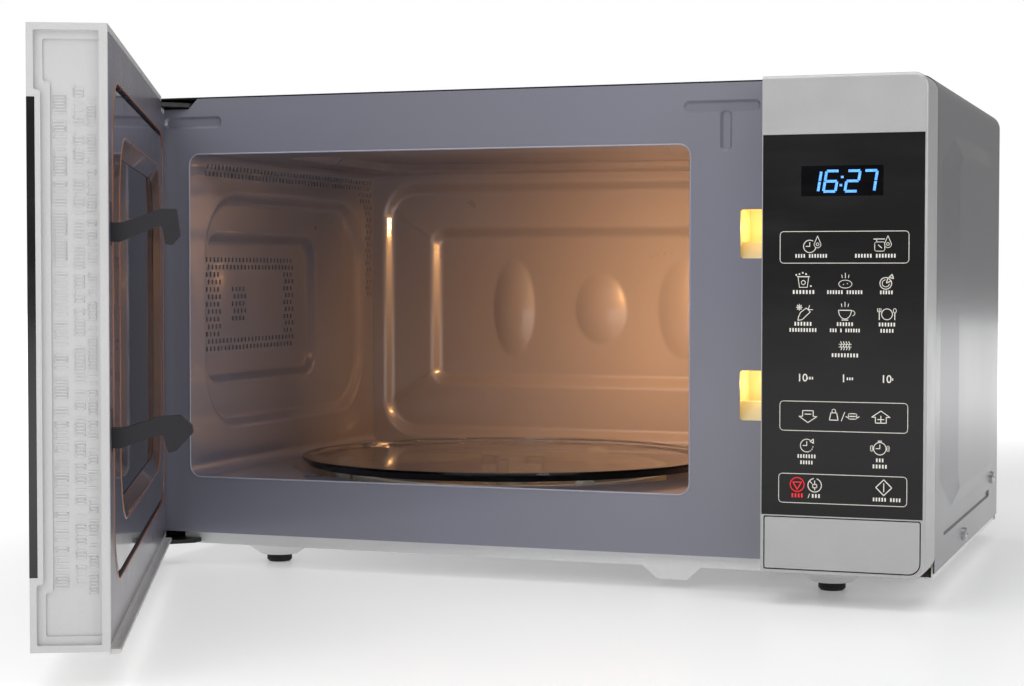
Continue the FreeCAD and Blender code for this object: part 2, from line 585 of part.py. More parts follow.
def make_hinges():
    """Black brackets above and below the door's left edge, each with a pin on the hinge axis."""
    arm = outline([(3.6, -18.0, 4.0), (14.5, -18.0, 6.0), (30.0, 0.8, 2.0), (30.0, 2.4, 0), (3.6, 2.4, 0)])
    back_plate = slab("front", SHEET, SHEET + 1.6,
                      outline([(4, 250, 1), (33, 250, 1), (33, 256.4, 0), (4, 256.4, 0)]))
    pin = rod(HINGE_X, HINGE_Y, 244.0, "z", PIN_RADIUS, 10.4)
    head = rod(HINGE_X, HINGE_Y, 256.4, "z", 3.4, 1.0)
    save("hinge_upper", fuse(slab("floor", 254.2, 256.4, arm), back_plate, pin, head))
    arm = outline([(1.5, -18.0, 6.0), (14.5, -18.0, 6.0), (32.0, 0.0, 2.0), (32.0, BASE_FRONT, 0),
                   (1.9, BASE_FRONT, 0)])
    pin = rod(HINGE_X, HINGE_Y, 14.0, "z", PIN_RADIUS, 11.0)
    save("hinge_lower", fuse(slab("floor", 11.8, 14.0, arm), pin))


# Control panel

def make_control_panel():
    left, right = PANEL_LEFT, WIDTH
    radius = PANEL_CORNER
    outer = outline([(left, PANEL_BOTTOM, 0), (right, PANEL_BOTTOM, radius), (right, PANEL_TOP, radius),
                     (left, PANEL_TOP, 0)])
    shell = slab("front", -PROJECTION, 0, outer)
    front_edges = [e for e in shell.Edges
                   if abs(e.BoundBox.YMax + PROJECTION) < 1e-6 and e.BoundBox.XMax > right - radius - 0.1]
    shell = shell.makeFillet(1.4, [e for e in front_edges if e.BoundBox.XMin > left + 1])
    inner_radius = radius - WALL
    hollow = outline([(left + WALL, PANEL_BOTTOM + 2, 0), (right - WALL, PANEL_BOTTOM + 2, inner_radius),
                      (right - WALL, PANEL_TOP - WALL, inner_radius), (left + WALL, PANEL_TOP - WALL, 0)])
    inside = slab("front", -PROJECTION + 5.5, 1, hollow)
    glass_seat = box(left + 0.4, right - 1.4, -PROJECTION - 1, -PROJECTION + 3.0, GLASS_BOTTOM, GLASS_TOP)
    board_window = slab("front", -PROJECTION - 1, 0, rectangle(368, 432, 54, 220, 3))
    button_room = outline([(361.4, 17.8, 0.8), (437.8, 17.8, 6.0), (437.8, 44.0, 1.2), (361.4, 44.0, 0.8)])
    button_hole = slab("front", -PROJECTION - 1, -PROJECTION + 4.0 + CATCH_TRAVEL + 2, button_room)
    save("control_housing", shell.cut([inside, glass_seat, board_window, button_hole]))
    save("control_glass", box(left + 0.5, right - 1.5, -PROJECTION, -PROJECTION + 2.6, GLASS_BOTTOM + 0.1,
                              GLASS_TOP - 0.1))
    board_y = -PROJECTION + 12.0
    board = slab("front", board_y, board_y + 1.6, rectangle(366, 434, 56, 218, 2))
    back = board_y + 1.6
    chip = box(380, 392, back, back + 2.6, 120, 132)
    relay = box(398, 420, back, back + 11.4, 78, 98)
    small_transformer = box(374, 386, back, back + 9.4, 150, 174)
    smoothing = rod(410, back, 180, "y", 5.0, 9.0)
    save("control_board", fuse(board, chip, relay, small_transformer, smoothing))
    save("display_module", box(376, 422, -PROJECTION + 2.8, board_y, 196, 217))

    cap = slab("front", -PROJECTION + 0.1, -PROJECTION + 3.0,
               outline([(362, 18.4, 0.6), (437.2, 18.4, 5.4), (437.2, 43.4, 0.8), (362, 43.4, 0.6)]))
    rim = slab("front", -PROJECTION + 3.0, -PROJECTION + 9.0, rectangle(364.5, 434.5, 20.5, 41.5, 2),
               rectangle(366.5, 432.5, 22.5, 39.5, 1.5))
    stem = box(366, 372, -PROJECTION + 3.0, 2, 26, 42)
    wedge = slab("side", 366, 372, outline([(2, 26, 0), (22, 26, 0), (22, 28, 0), (8, 42, 0), (2, 42, 0)]))
    post = rod(400, -PROJECTION + 3.0, 31, "y", 2.4, 14)
    save("open_button", fuse(cap, rim, stem, wedge, post))
    save("button_spring", coil(400, -PROJECTION + 3.6, 31, "y", 3.6, 0.45, 4.0, 26.4))


def make_catch_bracket():
    left, right = CATCH_LEFT, CATCH_RIGHT
    cheeks = [box(left, left + WALL, SHEET, 36, 80, 202), box(right - WALL, right, SHEET, 36, 80, 202)]
    web = box(left, right, 33.5, 36, 80, 202)
    strikes = []
    for low, top in ((UPPER_SLOT[0], 178.4), (LOWER_SLOT[0], 96.9)):
        ramp = outline([(SHEET, low - 6, 0), (10, low - 6, 0), (18.4, top - 2, 1), (18.4, top, 0.6),
                        (14, top, 1), (SHEET, low - 2, 0)])
        strikes.append(slab("side", left, right, ramp))
    save("latch_bracket", fuse(web, *cheeks, *strikes))
    heights = {"door_switch_upper": 172.0, "door_switch_middle": 118.0, "door_switch_lower": 92.0}
    for name, z in heights.items():
        body = box(right, right + 10.4, 6, 34, z, z + 16)
        terminals = [box(right + 3, right + 8, 34, 41, z + h, z + h + 0.8) for h in (3, 8, 13)]
        save(name, fuse(body, *terminals))

    slope = 50.42
    foot = outline([(9, slope - 9, 0), (18, slope - 18, 0), (18, 58, 0), (9, 58, 0)])
    arm = box(345, 372, 11, 18, 52, 58)
    step = box(HOOK_LEFT, HOOK_RIGHT, 11, 24.6, 52, 58)
    finger = box(HOOK_LEFT, HOOK_RIGHT, 20.6, 24.6, 52, 90.4)
    save("release_slider", fuse(slab("side", 366, 372, foot), arm, step, finger))


# Machine compartment

def make_magnetron():
    guide = box(ROOM_LEFT, 352, GUIDE_Y - 42, GUIDE_Y + 42, 94, 214)
    inside = box(ROOM_LEFT - 1, 350.4, GUIDE_Y - 40.4, GUIDE_Y + 40.4, 95.6, 212.4)
    antenna_hole = rod(345, GUIDE_Y, MAGNETRON_Z, "x", 12.0, 12)
    save("waveguide", guide.cut([inside, antenna_hole]))
    x0 = 352.0
    low, high = MAGNETRON_Z - 32.4, MAGNETRON_Z + 32.4
    yoke = box(x0, x0 + 62, GUIDE_Y - 40, GUIDE_Y + 40, low - 1.6, high + 1.6)
    yoke = yoke.cut(box(x0 + 1.6, x0 + 60.4, -INFINITY, INFINITY, low, high))
    fins = [box(x0 + 14 + 6 * i, x0 + 14.8 + 6 * i, GUIDE_Y - 38, GUIDE_Y + 38, low, high) for i in range(6)]
    anode = rod(x0 + 1.6, GUIDE_Y, MAGNETRON_Z, "x", 20, 58.8)
    antenna = rod(x0 - 24, GUIDE_Y, MAGNETRON_Z, "x", 8, 26)
    filter_box = box(x0 + 62, x0 + 82, GUIDE_Y - 24, GUIDE_Y + 24, MAGNETRON_Z - 24, MAGNETRON_Z + 24)
    save("magnetron", fuse(yoke, anode, antenna, filter_box, *fins))


def make_power_supply():
    x0, y0, z0 = 330.0, 140.0, BASE_BOTTOM + SHEET
    core = box(x0, x0 + 90, y0, y0 + 56, z0 + 2, z0 + 76)
    windows = [box(x0 + left, x0 + left + 21, y0 - 1, y0 + 57, z0 + 16, z0 + 62) for left in (15, 54)]
    base = box(x0 - 5, x0 + 95, y0 + 4, y0 + 52, z0, z0 + 2)
    save("transformer_core", fuse(core, base).cut(windows))
    coils = []
    for low, high in ((17, 36), (40, 61)):
        outer = box(x0 + 15.4, x0 + 74.6, y0 - 18, y0 + 74, z0 + low, z0 + high)
        middle = box(x0 + 36, x0 + 54, y0 - 0.2, y0 + 56.2, z0, z0 + 80)
        coils.append(outer.makeFillet(7, [e for e in outer.Edges if e.BoundBox.ZLength > 5]).cut(middle))
    save("transformer_windings", *coils)

    can = slab("floor", BASE_BOTTOM + SHEET, 96, rectangle(362, 414, 62, 94, 15.9))
    tabs = [box(376, 382, 77, 77.8, 96, 106), box(394, 400, 77, 77.8, 96, 106)]
    save("hv_capacitor", fuse(can, *tabs))
    save("hv_diode", fuse(rod(330, 110, 20, "y", 3.5, 16), rod(330, 98, 20, "y", 0.8, 40)))
    board = box(324, 362, 218, 264, 30, 31.6)
    choke = box(328, 344, 224, 244, 31.6, 48)
    caps = [rod(352, 232, 31.6, "z", 7, 14), rod(352, 252, 31.6, "z", 6, 12)]
    save("filter_board", fuse(board, choke, *caps))


def make_fan():
    y1 = DEPTH - SHEET
    plate = slab("front", y1 - 3, y1, rectangle(FAN_X - 52, FAN_X + 52, FAN_Z - 52, FAN_Z + 52, 6),
                 circle(FAN_X, FAN_Z, FAN_RADIUS + 2))
    ring = slab("front", y1 - 34, y1 - 3, circle(FAN_X, FAN_Z, FAN_RADIUS + 4),
                circle(FAN_X, FAN_Z, FAN_RADIUS + 2))
    arm = box(FAN_X - 50, FAN_X + 50, y1 - 38, y1 - 34, FAN_Z - 5, FAN_Z + 5)
    hub = rod(FAN_X, y1 - 38, FAN_Z, "y", 12, 4)
    bore = rod(FAN_X, y1 - 70, FAN_Z, "y", SHAFT_RADIUS + RUNNING, 40)
    save("fan_shroud", fuse(plate, ring, arm, hub).cut(bore))
    core = box(FAN_X - 28, FAN_X + 28, y1 - 58, y1 - 38, FAN_Z - 22, FAN_Z + 22)
    winding = rod(FAN_X - 20, y1 - 48, FAN_Z - 30, "x", 9, 40)
    save("fan_motor", fuse(core, winding).cut(bore))
    hub = rod(FAN_X, y1 - 28, FAN_Z, "y", 13, 20)
    shaft = rod(FAN_X, y1 - 56, FAN_Z, "y", SHAFT_RADIUS, 30)
    blades = []
    for i in range(5):
        blade = box(FAN_X + 11, FAN_X + FAN_RADIUS - 1, y1 - 19, y1 - 17.4, FAN_Z - 13, FAN_Z + 13)
        blade.rotate(Vec(FAN_X, y1 - 18, FAN_Z), AXIS["x"], 28)
        blade.rotate(Vec(FAN_X, 0, FAN_Z), AXIS["y"], 72 * i)
        blades.append(blade)
    save("fan_impeller", fuse(hub, shaft, *blades))
    duct = box(352, 434, 146, y1 - 60, 212, 246).cut(box(353.6, 432.4, 140, y1, 213.6, 244.4))
    save("air_duct", duct)


def make_lamp():
    x, z = ROOM_LEFT + 17, 213
    holder = box(ROOM_LEFT, x + 12, 6, 24, z - 7, z + 7).cut(rod(x, 14, z, "y", 6.0, 20))
    save("lamp_holder", holder)
    bulb = fuse(rod(x, 14, z, "y", 6.0, 14), rod(x, 28, z, "y", 9.0, 16), Part.makeSphere(9.0, Vec(x, 44, z)))
    save("lamp_bulb", bulb)


make_wrapper()
make_front_plate()
make_cavity()
make_base()
make_rear()
make_screws()
make_turntable()
make_door_frame()
make_door_panels()
make_door_catch()
make_hinges()
make_control_panel()
make_catch_bracket()
make_magnetron()
make_power_supply()
make_fan()
make_lamp()
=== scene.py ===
"""Looks for the compact microwave oven: finishes, printed panel, clock display, door screen and lamp light.

point() takes millimetres on the oven's drawing: x from the casing's left side, y from the front
plate's face towards the back and z from the floor. It gives the place in the frame, in metres.
Pieces on the door are drawn with the door closed and are then turned to where the door stands open.
"""
import json
import math
import random

import bmesh
import bpy
from mathutils import Matrix, Vector


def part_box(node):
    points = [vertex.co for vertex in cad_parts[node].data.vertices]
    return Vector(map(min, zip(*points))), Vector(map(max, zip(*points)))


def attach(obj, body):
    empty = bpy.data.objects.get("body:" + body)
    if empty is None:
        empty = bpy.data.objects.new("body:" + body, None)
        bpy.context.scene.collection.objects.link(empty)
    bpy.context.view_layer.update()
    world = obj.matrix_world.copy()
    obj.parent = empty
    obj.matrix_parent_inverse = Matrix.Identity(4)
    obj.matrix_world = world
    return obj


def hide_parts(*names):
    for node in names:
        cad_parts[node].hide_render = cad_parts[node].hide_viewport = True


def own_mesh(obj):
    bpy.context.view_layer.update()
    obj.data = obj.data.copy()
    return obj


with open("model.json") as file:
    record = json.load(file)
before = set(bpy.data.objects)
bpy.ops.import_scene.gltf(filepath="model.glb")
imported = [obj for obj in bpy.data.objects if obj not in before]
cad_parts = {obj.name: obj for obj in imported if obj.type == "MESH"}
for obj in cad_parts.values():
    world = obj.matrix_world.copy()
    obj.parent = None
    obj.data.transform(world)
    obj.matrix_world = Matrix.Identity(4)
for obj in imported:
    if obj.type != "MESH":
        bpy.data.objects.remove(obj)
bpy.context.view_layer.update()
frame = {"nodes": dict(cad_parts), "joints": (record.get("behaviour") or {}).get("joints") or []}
nodes = frame["nodes"]
random.seed(7)

MM = 0.001
PANEL_BULGE = 3.0
DARK_EDGE_DEPTH = 1.0
casing_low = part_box("wrapper")[0]
glass_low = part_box("control_glass")[0]
ORIGIN = Vector((casing_low.x + PANEL_BULGE * MM, casing_low.y, 0))


def point(x, y, z):
    return ORIGIN + Vector((x, y, z)) * MM


def millimetres(place):
    return (place - ORIGIN) / MM


# Door: where its hinge is, and the turn from closed to where it stands
DOOR_OPEN = math.radians(64.28)
hinge = Vector(next(j["pos_m"] for j in frame["joints"] if j["name"] == "door_hinge"))
SWING = Matrix.Translation(hinge) @ Matrix.Rotation(-DOOR_OPEN, 4, "Z") @ Matrix.Translation(-hinge)
DOOR_RIGHT = 359.5
DOOR_BACK = -0.5
PIN_RADIUS = 3.45

# Printed panel
GLASS_FACE = millimetres(glass_low).y
PRINT_THICK = 0.04
LINE = 0.3
TYPE_WEIGHT = 0.04

# Clock digits
DIGIT_HEIGHT = 9.8
DIGIT_WIDTH = 5.8
DIGIT_BASE = 201.8
DIGIT_SLANT = 0.16
DIGIT_STROKE = 1.25
SEGMENTS = {"1": "bc", "6": "acdefg", "2": "abged", "7": "abc"}

# Raised marks on the door's edge: each column's y, height, pitch, and lowest and highest z
STROKE = 0.45
RECESS_DEPTH = 3.2
MARK_RELIEF = 0.4
MARK_COLUMNS = ((-19.0, 4.9, 2.4, 40.0, 232.0), (-11.9, 3.9, 2.7, 41.5, 233.0), (-7.1, 3.3, 2.5, 38.0, 233.0))

# Pressing of the cavity's back wall: each swell's middle, half width and half height
SWELLS = ((127.0, 14.5, 32.0), (187.0, 17.5, 23.0), (243.0, 17.0, 32.0))
SWELL_MIDDLE = 139.5
SWELL_RISE = 3.2
STEP_DROP = 4.5
CREASE_HEIGHT = 0.9
CREASE_WIDTH = 1.3
SHEET_THICK = 0.8


# Stage: camera, floor and light

CAMERA_PLACE = (0.3599, -1.15, 0.1618)
CAMERA_TURN = (math.radians(90 - 1.923), math.radians(-0.05), math.radians(19.564))
LENS = 72.0
SENSOR_WIDTH = 36.0

# Painted light on the floor: its glow is weak at a spot to the right of the oven, a painted shade, and
# brightens from the first to the second distance from that spot, into a plain white backdrop
SHADE_SPOT = (0.42, 0.1, 0.0)
FLOOR_FADE = (0.35, 1.6)
FLOOR_GLOW = ((0.16, 0.16, 0.16, 1.0), (1.0, 1.0, 1.0, 1.0))
FLOOR_HALF = 6.0

# Strength of the sky at the horizon and high up, and the height that counts as high
SKY_LOW = 0.24
SKY_HIGH = 0.52
SKY_TOP = 0.7


def make_camera():
    camera = bpy.data.objects.new("camera", bpy.data.cameras.new("camera"))
    camera.location = CAMERA_PLACE
    camera.rotation_euler = CAMERA_TURN
    camera.data.lens = LENS
    camera.data.sensor_width = SENSOR_WIDTH
    camera.data.clip_start = 0.01
    bpy.context.scene.collection.objects.link(camera)
    bpy.context.scene.camera = camera


def area_light(name, place, aim, size, power, colour=(1, 1, 1), spread=180):
    lamp = bpy.data.lights.new(name, "AREA")
    lamp.shape = "RECTANGLE"
    lamp.size, lamp.size_y = size
    lamp.energy = power
    lamp.color = colour
    lamp.spread = math.radians(spread)
    light = bpy.data.objects.new(name, lamp)
    light.location = place
    light.rotation_euler = (Vector(aim) - Vector(place)).to_track_quat("-Z", "Y").to_euler()
    bpy.context.scene.collection.objects.link(light)


def glow(name, place, radius, power, colour):
    lamp = bpy.data.lights.new(name, "POINT")
    lamp.shadow_soft_size = radius
    lamp.energy = power
    lamp.color = colour
    light = bpy.data.objects.new(name, lamp)
    light.location = place
    bpy.context.scene.collection.objects.link(light)


def lay_floor():
    """Pale floor of the stage, lit by a painted glow that is dim to the right of the oven as painted shade
    and fades into the backdrop.
    """
    bm = bmesh.new()
    bmesh.ops.create_grid(bm, x_segments=1, y_segments=1, size=FLOOR_HALF)
    mesh = bpy.data.meshes.new("floor")
    bm.to_mesh(mesh)
    bm.free()
    floor = bpy.data.objects.new("floor", mesh)
    bpy.context.scene.collection.objects.link(floor)
    f = Finish("pale_floor")
    # Painted shade near the oven, rising to a plain white glow far out
    reach = f.add("ShaderNodeVectorMath", {"operation": "DISTANCE"}, {0: f.place(), 1: SHADE_SPOT}, "Value")
    mesh.materials.append(f.surface({
        "Base Color": (0.82, 0.82, 0.82, 1.0),
        "Roughness": 0.3,
        "Specular IOR Level": 0.35,
        "Emission Color": f.tint(f.fit(reach, *FLOOR_FADE), *FLOOR_GLOW),
        "Emission Strength": 1.0,
    }))


def light_sky():
    """Soft light from all round, stronger from above, behind a white backdrop."""
    world = bpy.data.worlds.new("studio")
    bpy.context.scene.world = world
    world.use_nodes = True
    sky = world.node_tree.nodes
    links = world.node_tree.links
    split = sky.new("ShaderNodeSeparateXYZ")
    links.new(sky.new("ShaderNodeTexCoord").outputs["Generated"], split.inputs[0])
    ramp = sky.new("ShaderNodeMapRange")
    for key, value in (("From Min", 0.0), ("From Max", SKY_TOP), ("To Min", SKY_LOW), ("To Max", SKY_HIGH)):
        ramp.inputs[key].default_value = value
    links.new(split.outputs["Z"], ramp.inputs["Value"])
    pick = sky.new("ShaderNodeMix")
    links.new(sky.new("ShaderNodeLightPath").outputs["Is Camera Ray"], pick.inputs[0])
    links.new(ramp.outputs[0], pick.inputs[2])
    pick.inputs[3].default_value = 1.0
    links.new(pick.outputs[0], sky["Background"].inputs["Strength"])
    sky["Background"].inputs["Color"].default_value = (1, 1, 1, 1)


# Finishes

def linear(code):
    """Linear colour from a hexadecimal screen colour."""
    shares = [int(code[i:i + 2], 16) / 255 for i in (0, 2, 4)]
    return tuple(s / 12.92 if s <= 0.04045 else ((s + 0.055) / 1.055) ** 2.4 for s in shares) + (1.0,)


def toned(colour, share, lift=0.0):
    """Colour with its brightness scaled and then lifted."""
    return tuple(min(1.0, c * share + lift) for c in colour[:3]) + (1.0,)


class Term:
    """A socket of a finish that takes part in arithmetic."""

    def __init__(self, finish, socket):
        self.finish = finish
        self.socket = socket

    def combine(self, operation, first, second):
        return self.finish.maths(operation, first, second)

    def __add__(self, other):
        return self.combine("ADD", self, other)

    def __sub__(self, other):
        return self.combine("SUBTRACT", self, other)

    def __rsub__(self, other):
        return self.combine("SUBTRACT", other, self)

    def __mul__(self, other):
        return self.combine("MULTIPLY", self, other)

    def __gt__(self, other):
        return self.combine("GREATER_THAN", self, other)

    def __lt__(self, other):
        return self.combine("LESS_THAN", self, other)

    __radd__ = __add__
    __rmul__ = __mul__


class Finish:
    """A material and the nodes that make it."""

    def __init__(self, name):
        self.material = bpy.data.materials.new(name)
        self.material.use_nodes = True
        self.tree = self.material.node_tree
        self.tree.nodes.clear()

    def maths(self, operation, first, second=0.5):
        return self.add("ShaderNodeMath", {"operation": operation}, {0: first, 1: second})

    def add(self, kind, settings=None, inputs=None, output=0):
        """A node with its settings and inputs; gives one of its outputs."""
        node = self.tree.nodes.new(kind)
        for key, value in (settings or {}).items():
            if key == "stops":
                for stop, colour in zip(node.color_ramp.elements, value):
                    stop.position, stop.color = colour
            else:
                setattr(node, key, value)
        for key, value in (inputs or {}).items():
            if isinstance(value, Term):
                self.tree.links.new(value.socket, node.inputs[key])
            else:
                node.inputs[key].default_value = value
        return Term(self, node.outputs[output]) if node.outputs else node

    def place(self):
        return self.add("ShaderNodeTexCoord", output="Object")

    def axis(self, letter):
        return self.add("ShaderNodeSeparateXYZ", inputs={0: self.place()}, output=letter)

    def stretched(self, scale):
        return self.add("ShaderNodeMapping", inputs={"Vector": self.place(), "Scale": scale})

    def noise(self, scale, detail=2.0, roughness=0.5, vector=None):
        inputs = {"Vector": vector or self.place(), "Scale": scale, "Detail": detail, "Roughness": roughness}
        return self.add("ShaderNodeTexNoise", inputs=inputs)

    def cells(self, scale, feature="F1", output="Distance"):
        inputs = {"Vector": self.place(), "Scale": scale}
        return self.add("ShaderNodeTexVoronoi", {"feature": feature}, inputs, output)

    def fit(self, value, low, high, start=0.0, end=1.0):
        """Value mapped smoothly from one range to another."""
        inputs = {"Value": value, "From Min": low, "From Max": high, "To Min": start, "To Max": end}
        return self.add("ShaderNodeMapRange", {"interpolation_type": "SMOOTHSTEP"}, inputs)

    def tint(self, share, first, second):
        return self.add("ShaderNodeMix", {"data_type": "RGBA"}, {0: share, 6: first, 7: second}, 2)

    def bump(self, height, distance, strength):
        inputs = {"Height": height, "Distance": distance, "Strength": strength}
        return self.add("ShaderNodeBump", inputs=inputs)

    def surface(self, inputs):
        """The finish's shader, from the inputs of a Principled node."""
        shader = self.add("ShaderNodeBsdfPrincipled", inputs=inputs)
        self.add("ShaderNodeOutputMaterial", inputs={"Surface": shader})
        return self.material


def silver_paint(name, code, metallic=0.55, roughness=0.36):
    """Sprayed silver: fine flakes under a thin lacquer, with soft clouding."""
    f = Finish(name)
    flakes = f.cells(4500.0, output="Color")
    flake = f.add("ShaderNodeSeparateColor", inputs={0: flakes})
    cloud = f.noise(14.0, 3.0)
    base = linear(code)
    dark = toned(base, 0.9)
    peel = f.noise(650.0, 2.0)
    return f.surface({
        "Base Color": f.tint(f.fit(flake * 0.3 + cloud * 0.7, 0.25, 0.75), dark, base),
        "Metallic": metallic,
        "Roughness": roughness + 0.04 * flake + f.fit(f.noise(60.0, 4.0), 0.35, 0.65, -0.03, 0.03),
        "Coat Weight": 0.2,
        "Coat Roughness": 0.15,
        "Normal": f.bump(peel, 0.000004, 0.4),
    })


def casing_lacquer(name, code):
    """Silver-grey lacquer on the wrapper, with its front millimetre painted near black."""
    f = Finish(name)
    base = linear(code)
    dark = toned(base, 0.93)
    grain = f.noise(1.0, 2.0, 0.5, f.stretched((900.0, 900.0, 12.0)))
    coat = f.tint(f.fit(grain, 0.3, 0.7), dark, base)
    # Front edge painted near black and not metallic.
    dark_front_edge = f.axis("Y") < casing_low.y + DARK_EDGE_DEPTH * MM
    return f.surface({
        "Base Color": f.tint(dark_front_edge, coat, linear("141416")),
        "Metallic": 0.62 * (1 - dark_front_edge),
        "Roughness": 0.25 + f.fit(f.noise(9.0, 1.0), 0.35, 0.65, -0.01, 0.01),
        "Coat Weight": 0.1,
        "Coat Roughness": 0.12,
    })


def hinge_steel(name):
    """Blacked bracket with the bare end of its pin."""
    f = Finish(name)
    across, along = f.axis("X") - hinge.x, f.axis("Y") - hinge.y
    reach = f.maths("SQRT", across * across + along * along)
    pin = reach < PIN_RADIUS * MM
    wear = f.noise(300.0, 4.0, 0.6)
    return f.surface({
        "Base Color": f.tint(pin, f.tint(f.fit(wear, 0.5, 0.8), linear("111112"), linear("2c2c2e")),
                             linear("c9c9cb")),
        "Metallic": 0.4 + 0.6 * pin,
        "Roughness": 0.26 + 0.12 * wear,
        "Normal": f.bump(wear, 0.00002, 0.4),
    })


def enamel(name, code, roughness, warm, gloss, gloss_roughness, peel_height=0.00003):
    """Baked powder enamel: faint orange peel, slight tone drift and a few rubbed patches."""
    f = Finish(name)
    drift = f.noise(9.0, 3.0)
    base = linear(code)
    rubbed = f.fit(f.noise(38.0, 5.0, 0.62), 0.56, 0.72)
    peel = f.noise(520.0, 2.0, 0.55)
    grain = f.noise(2600.0, 1.0)
    tone = f.tint(f.fit(drift, 0.3, 0.7, 0.0, 0.16), base, linear(warm))
    return f.surface({
        "Base Color": tone,
        "Roughness": roughness + f.fit(drift, 0.3, 0.7, -0.03, 0.03) - 0.05 * rubbed,
        "Coat Weight": gloss,
        "Coat Roughness": gloss_roughness,
        "Normal": f.bump(peel + grain * 0.25, peel_height, 0.45),
    })


def plastic(name, code, roughness, grain=0.00002, scale=1500.0, coat=0.0):
    """Moulded plastic: spark-eroded grain and tone drift."""
    f = Finish(name)
    base = linear(code)
    worn = toned(base, 1.25, 0.01)
    drift = f.noise(22.0, 4.0, 0.6)
    texture = f.noise(scale, 3.0, 0.6)
    return f.surface({
        "Base Color": f.tint(f.fit(drift, 0.4, 0.75, 0.0, 0.35), base, worn),
        "Roughness": roughness + f.fit(drift, 0.3, 0.7, -0.05, 0.05) + 0.06 * texture,
        "Coat Weight": coat,
        "Normal": f.bump(texture, grain, 0.6),
    })


def bare_metal(name, code, roughness, brush=(40.0, 40.0, 1400.0)):
    """Rolled or drawn metal, with its fine lines along the stretched direction."""
    f = Finish(name)
    lines = f.noise(1.0, 4.0, 0.6, f.stretched(brush))
    patch = f.noise(45.0, 4.0, 0.6)
    base = linear(code)
    dull = toned(base, 0.7)
    return f.surface({
        "Base Color": f.tint(f.fit(patch, 0.35, 0.7, 0.0, 0.5), base, dull),
        "Metallic": 1.0,
        "Roughness": roughness + 0.18 * lines + f.fit(patch, 0.35, 0.7, -0.05, 0.08),
        "Normal": f.bump(lines, 0.00002, 0.4),
    })


def zinc_sheet(name, code):
    """Galvanised steel with its crystal spangle."""
    f = Finish(name)
    crystal = f.add("ShaderNodeSeparateColor", inputs={0: f.cells(130.0, output="Color")})
    base = linear(code)
    dark = toned(base, 0.8)
    scratch = f.noise(1.0, 3.0, 0.6, f.stretched((900.0, 60.0, 60.0)))
    return f.surface({
        "Base Color": f.tint(crystal, dark, base),
        "Metallic": 0.85,
        "Roughness": 0.3 + 0.16 * crystal + 0.06 * scratch,
        "Normal": f.bump(crystal * 0.3 + scratch * 0.4, 0.00003, 0.4),
    })


def black_glass(name, code="101012", roughness=0.08, gloss=0.5):
    """Back-printed glass: a clear gloss over black, with faint wipe marks."""
    f = Finish(name)
    wipe = f.noise(1.0, 4.0, 0.6, f.stretched((14.0, 14.0, 60.0)))
    base = linear(code)
    haze = toned(base, 1.5, 0.002)
    return f.surface({
        "Base Color": f.tint(f.fit(wipe, 0.4, 0.7, 0.0, 0.5), base, haze),
        "Roughness": roughness + f.fit(wipe, 0.4, 0.75, 0.0, 0.06),
        "Specular IOR Level": gloss,
        "Normal": f.bump(f.noise(120.0, 1.0), 0.00001, 0.15),
    })


def clear_glass(name, code="f2f5f2", roughness=0.02, ior=1.48):
    """Pressed glass with slow ripples and a slight tint."""
    f = Finish(name)
    ripple = f.noise(55.0, 2.0)
    mark = f.noise(18.0, 5.0, 0.65)
    base = linear(code)
    tinted = toned(base, 0.93)
    return f.surface({
        "Base Color": f.tint(f.fit(mark, 0.4, 0.7), base, tinted),
        "Roughness": roughness + f.fit(mark, 0.5, 0.8, 0.0, 0.05),
        "Transmission Weight": 1.0,
        "IOR": ior,
        "Normal": f.bump(ripple, 0.0001, 0.25),
    })


def glowing(name, code, strength):
    """Lit printing or a lamp, a little uneven."""
    f = Finish(name)
    uneven = f.noise(900.0, 2.0)
    base = linear(code)
    deep = toned(base, 0.75)
    lit = f.tint(f.fit(uneven, 0.35, 0.65), deep, base)
    return f.surface({
        "Base Color": lit,
        "Emission Color": lit,
        "Emission Strength": strength,
        "Roughness": 0.5,
    })


def printed_ink(name, code, painted_glow):
    """Screen-printed ink with its slight stipple and a faint painted glow that brightens it."""
    f = Finish(name)
    stipple = f.noise(3500.0, 2.0)
    base = linear(code)
    thin = toned(base, 0.85)
    return f.surface({
        "Base Color": f.tint(f.fit(stipple, 0.35, 0.65), thin, base),
        "Roughness": 0.55 + 0.1 * stipple,
        # Emission is a painted glow, not a lamp
        "Emission Color": base,
        "Emission Strength": painted_glow,
        "Normal": f.bump(stipple, 0.00001, 0.3),
    })


def circuit_board(name):
    """Solder-masked board with copper tracks and pads."""
    f = Finish(name)
    tracks = f.cells(160.0, "DISTANCE_TO_EDGE")
    pads = f.cells(420.0)
    mask = tracks < 0.06
    pad = pads < 0.18
    board = f.tint(mask, linear("6f5a2c"), linear("8a7740"))
    return f.surface({
        "Base Color": f.tint(pad, board, linear("c9c2b0")),
        "Roughness": 0.42 + 0.1 * f.noise(300.0),
        "Normal": f.bump(mask * 0.5 + pad, 0.00004, 0.5),
    })


def windings(name):
    """Close turns of enamelled copper wire."""
    f = Finish(name)
    turn = f.add("ShaderNodeTexWave", {"bands_direction": "Z"},
                 {"Vector": f.place(), "Scale": 300.0, "Distortion": 0.4, "Detail": 1.0})
    height = f.add("ShaderNodeSeparateColor", inputs={0: turn})
    return f.surface({
        "Base Color": f.tint(height, linear("5a2a14"), linear("b5673a")),
        "Metallic": 0.8,
        "Roughness": 0.35 + 0.15 * f.noise(400.0),
        "Normal": f.bump(height, 0.0002, 0.8),
    })


def laminations(name):
    """Stacked core plates, varnished."""
    f = Finish(name)
    sheet = f.add("ShaderNodeTexWave", {"bands_direction": "Y"}, {"Vector": f.place(), "Scale": 320.0})
    height = f.add("ShaderNodeSeparateColor", inputs={0: sheet})
    rust = f.fit(f.noise(60.0, 5.0, 0.65), 0.52, 0.7)
    return f.surface({
        "Base Color": f.tint(rust, linear("5b5c60"), linear("6a4a38")),
        "Metallic": 0.7,
        "Roughness": 0.42 + 0.2 * rust,
        "Normal": f.bump(height, 0.0001, 0.5),
    })


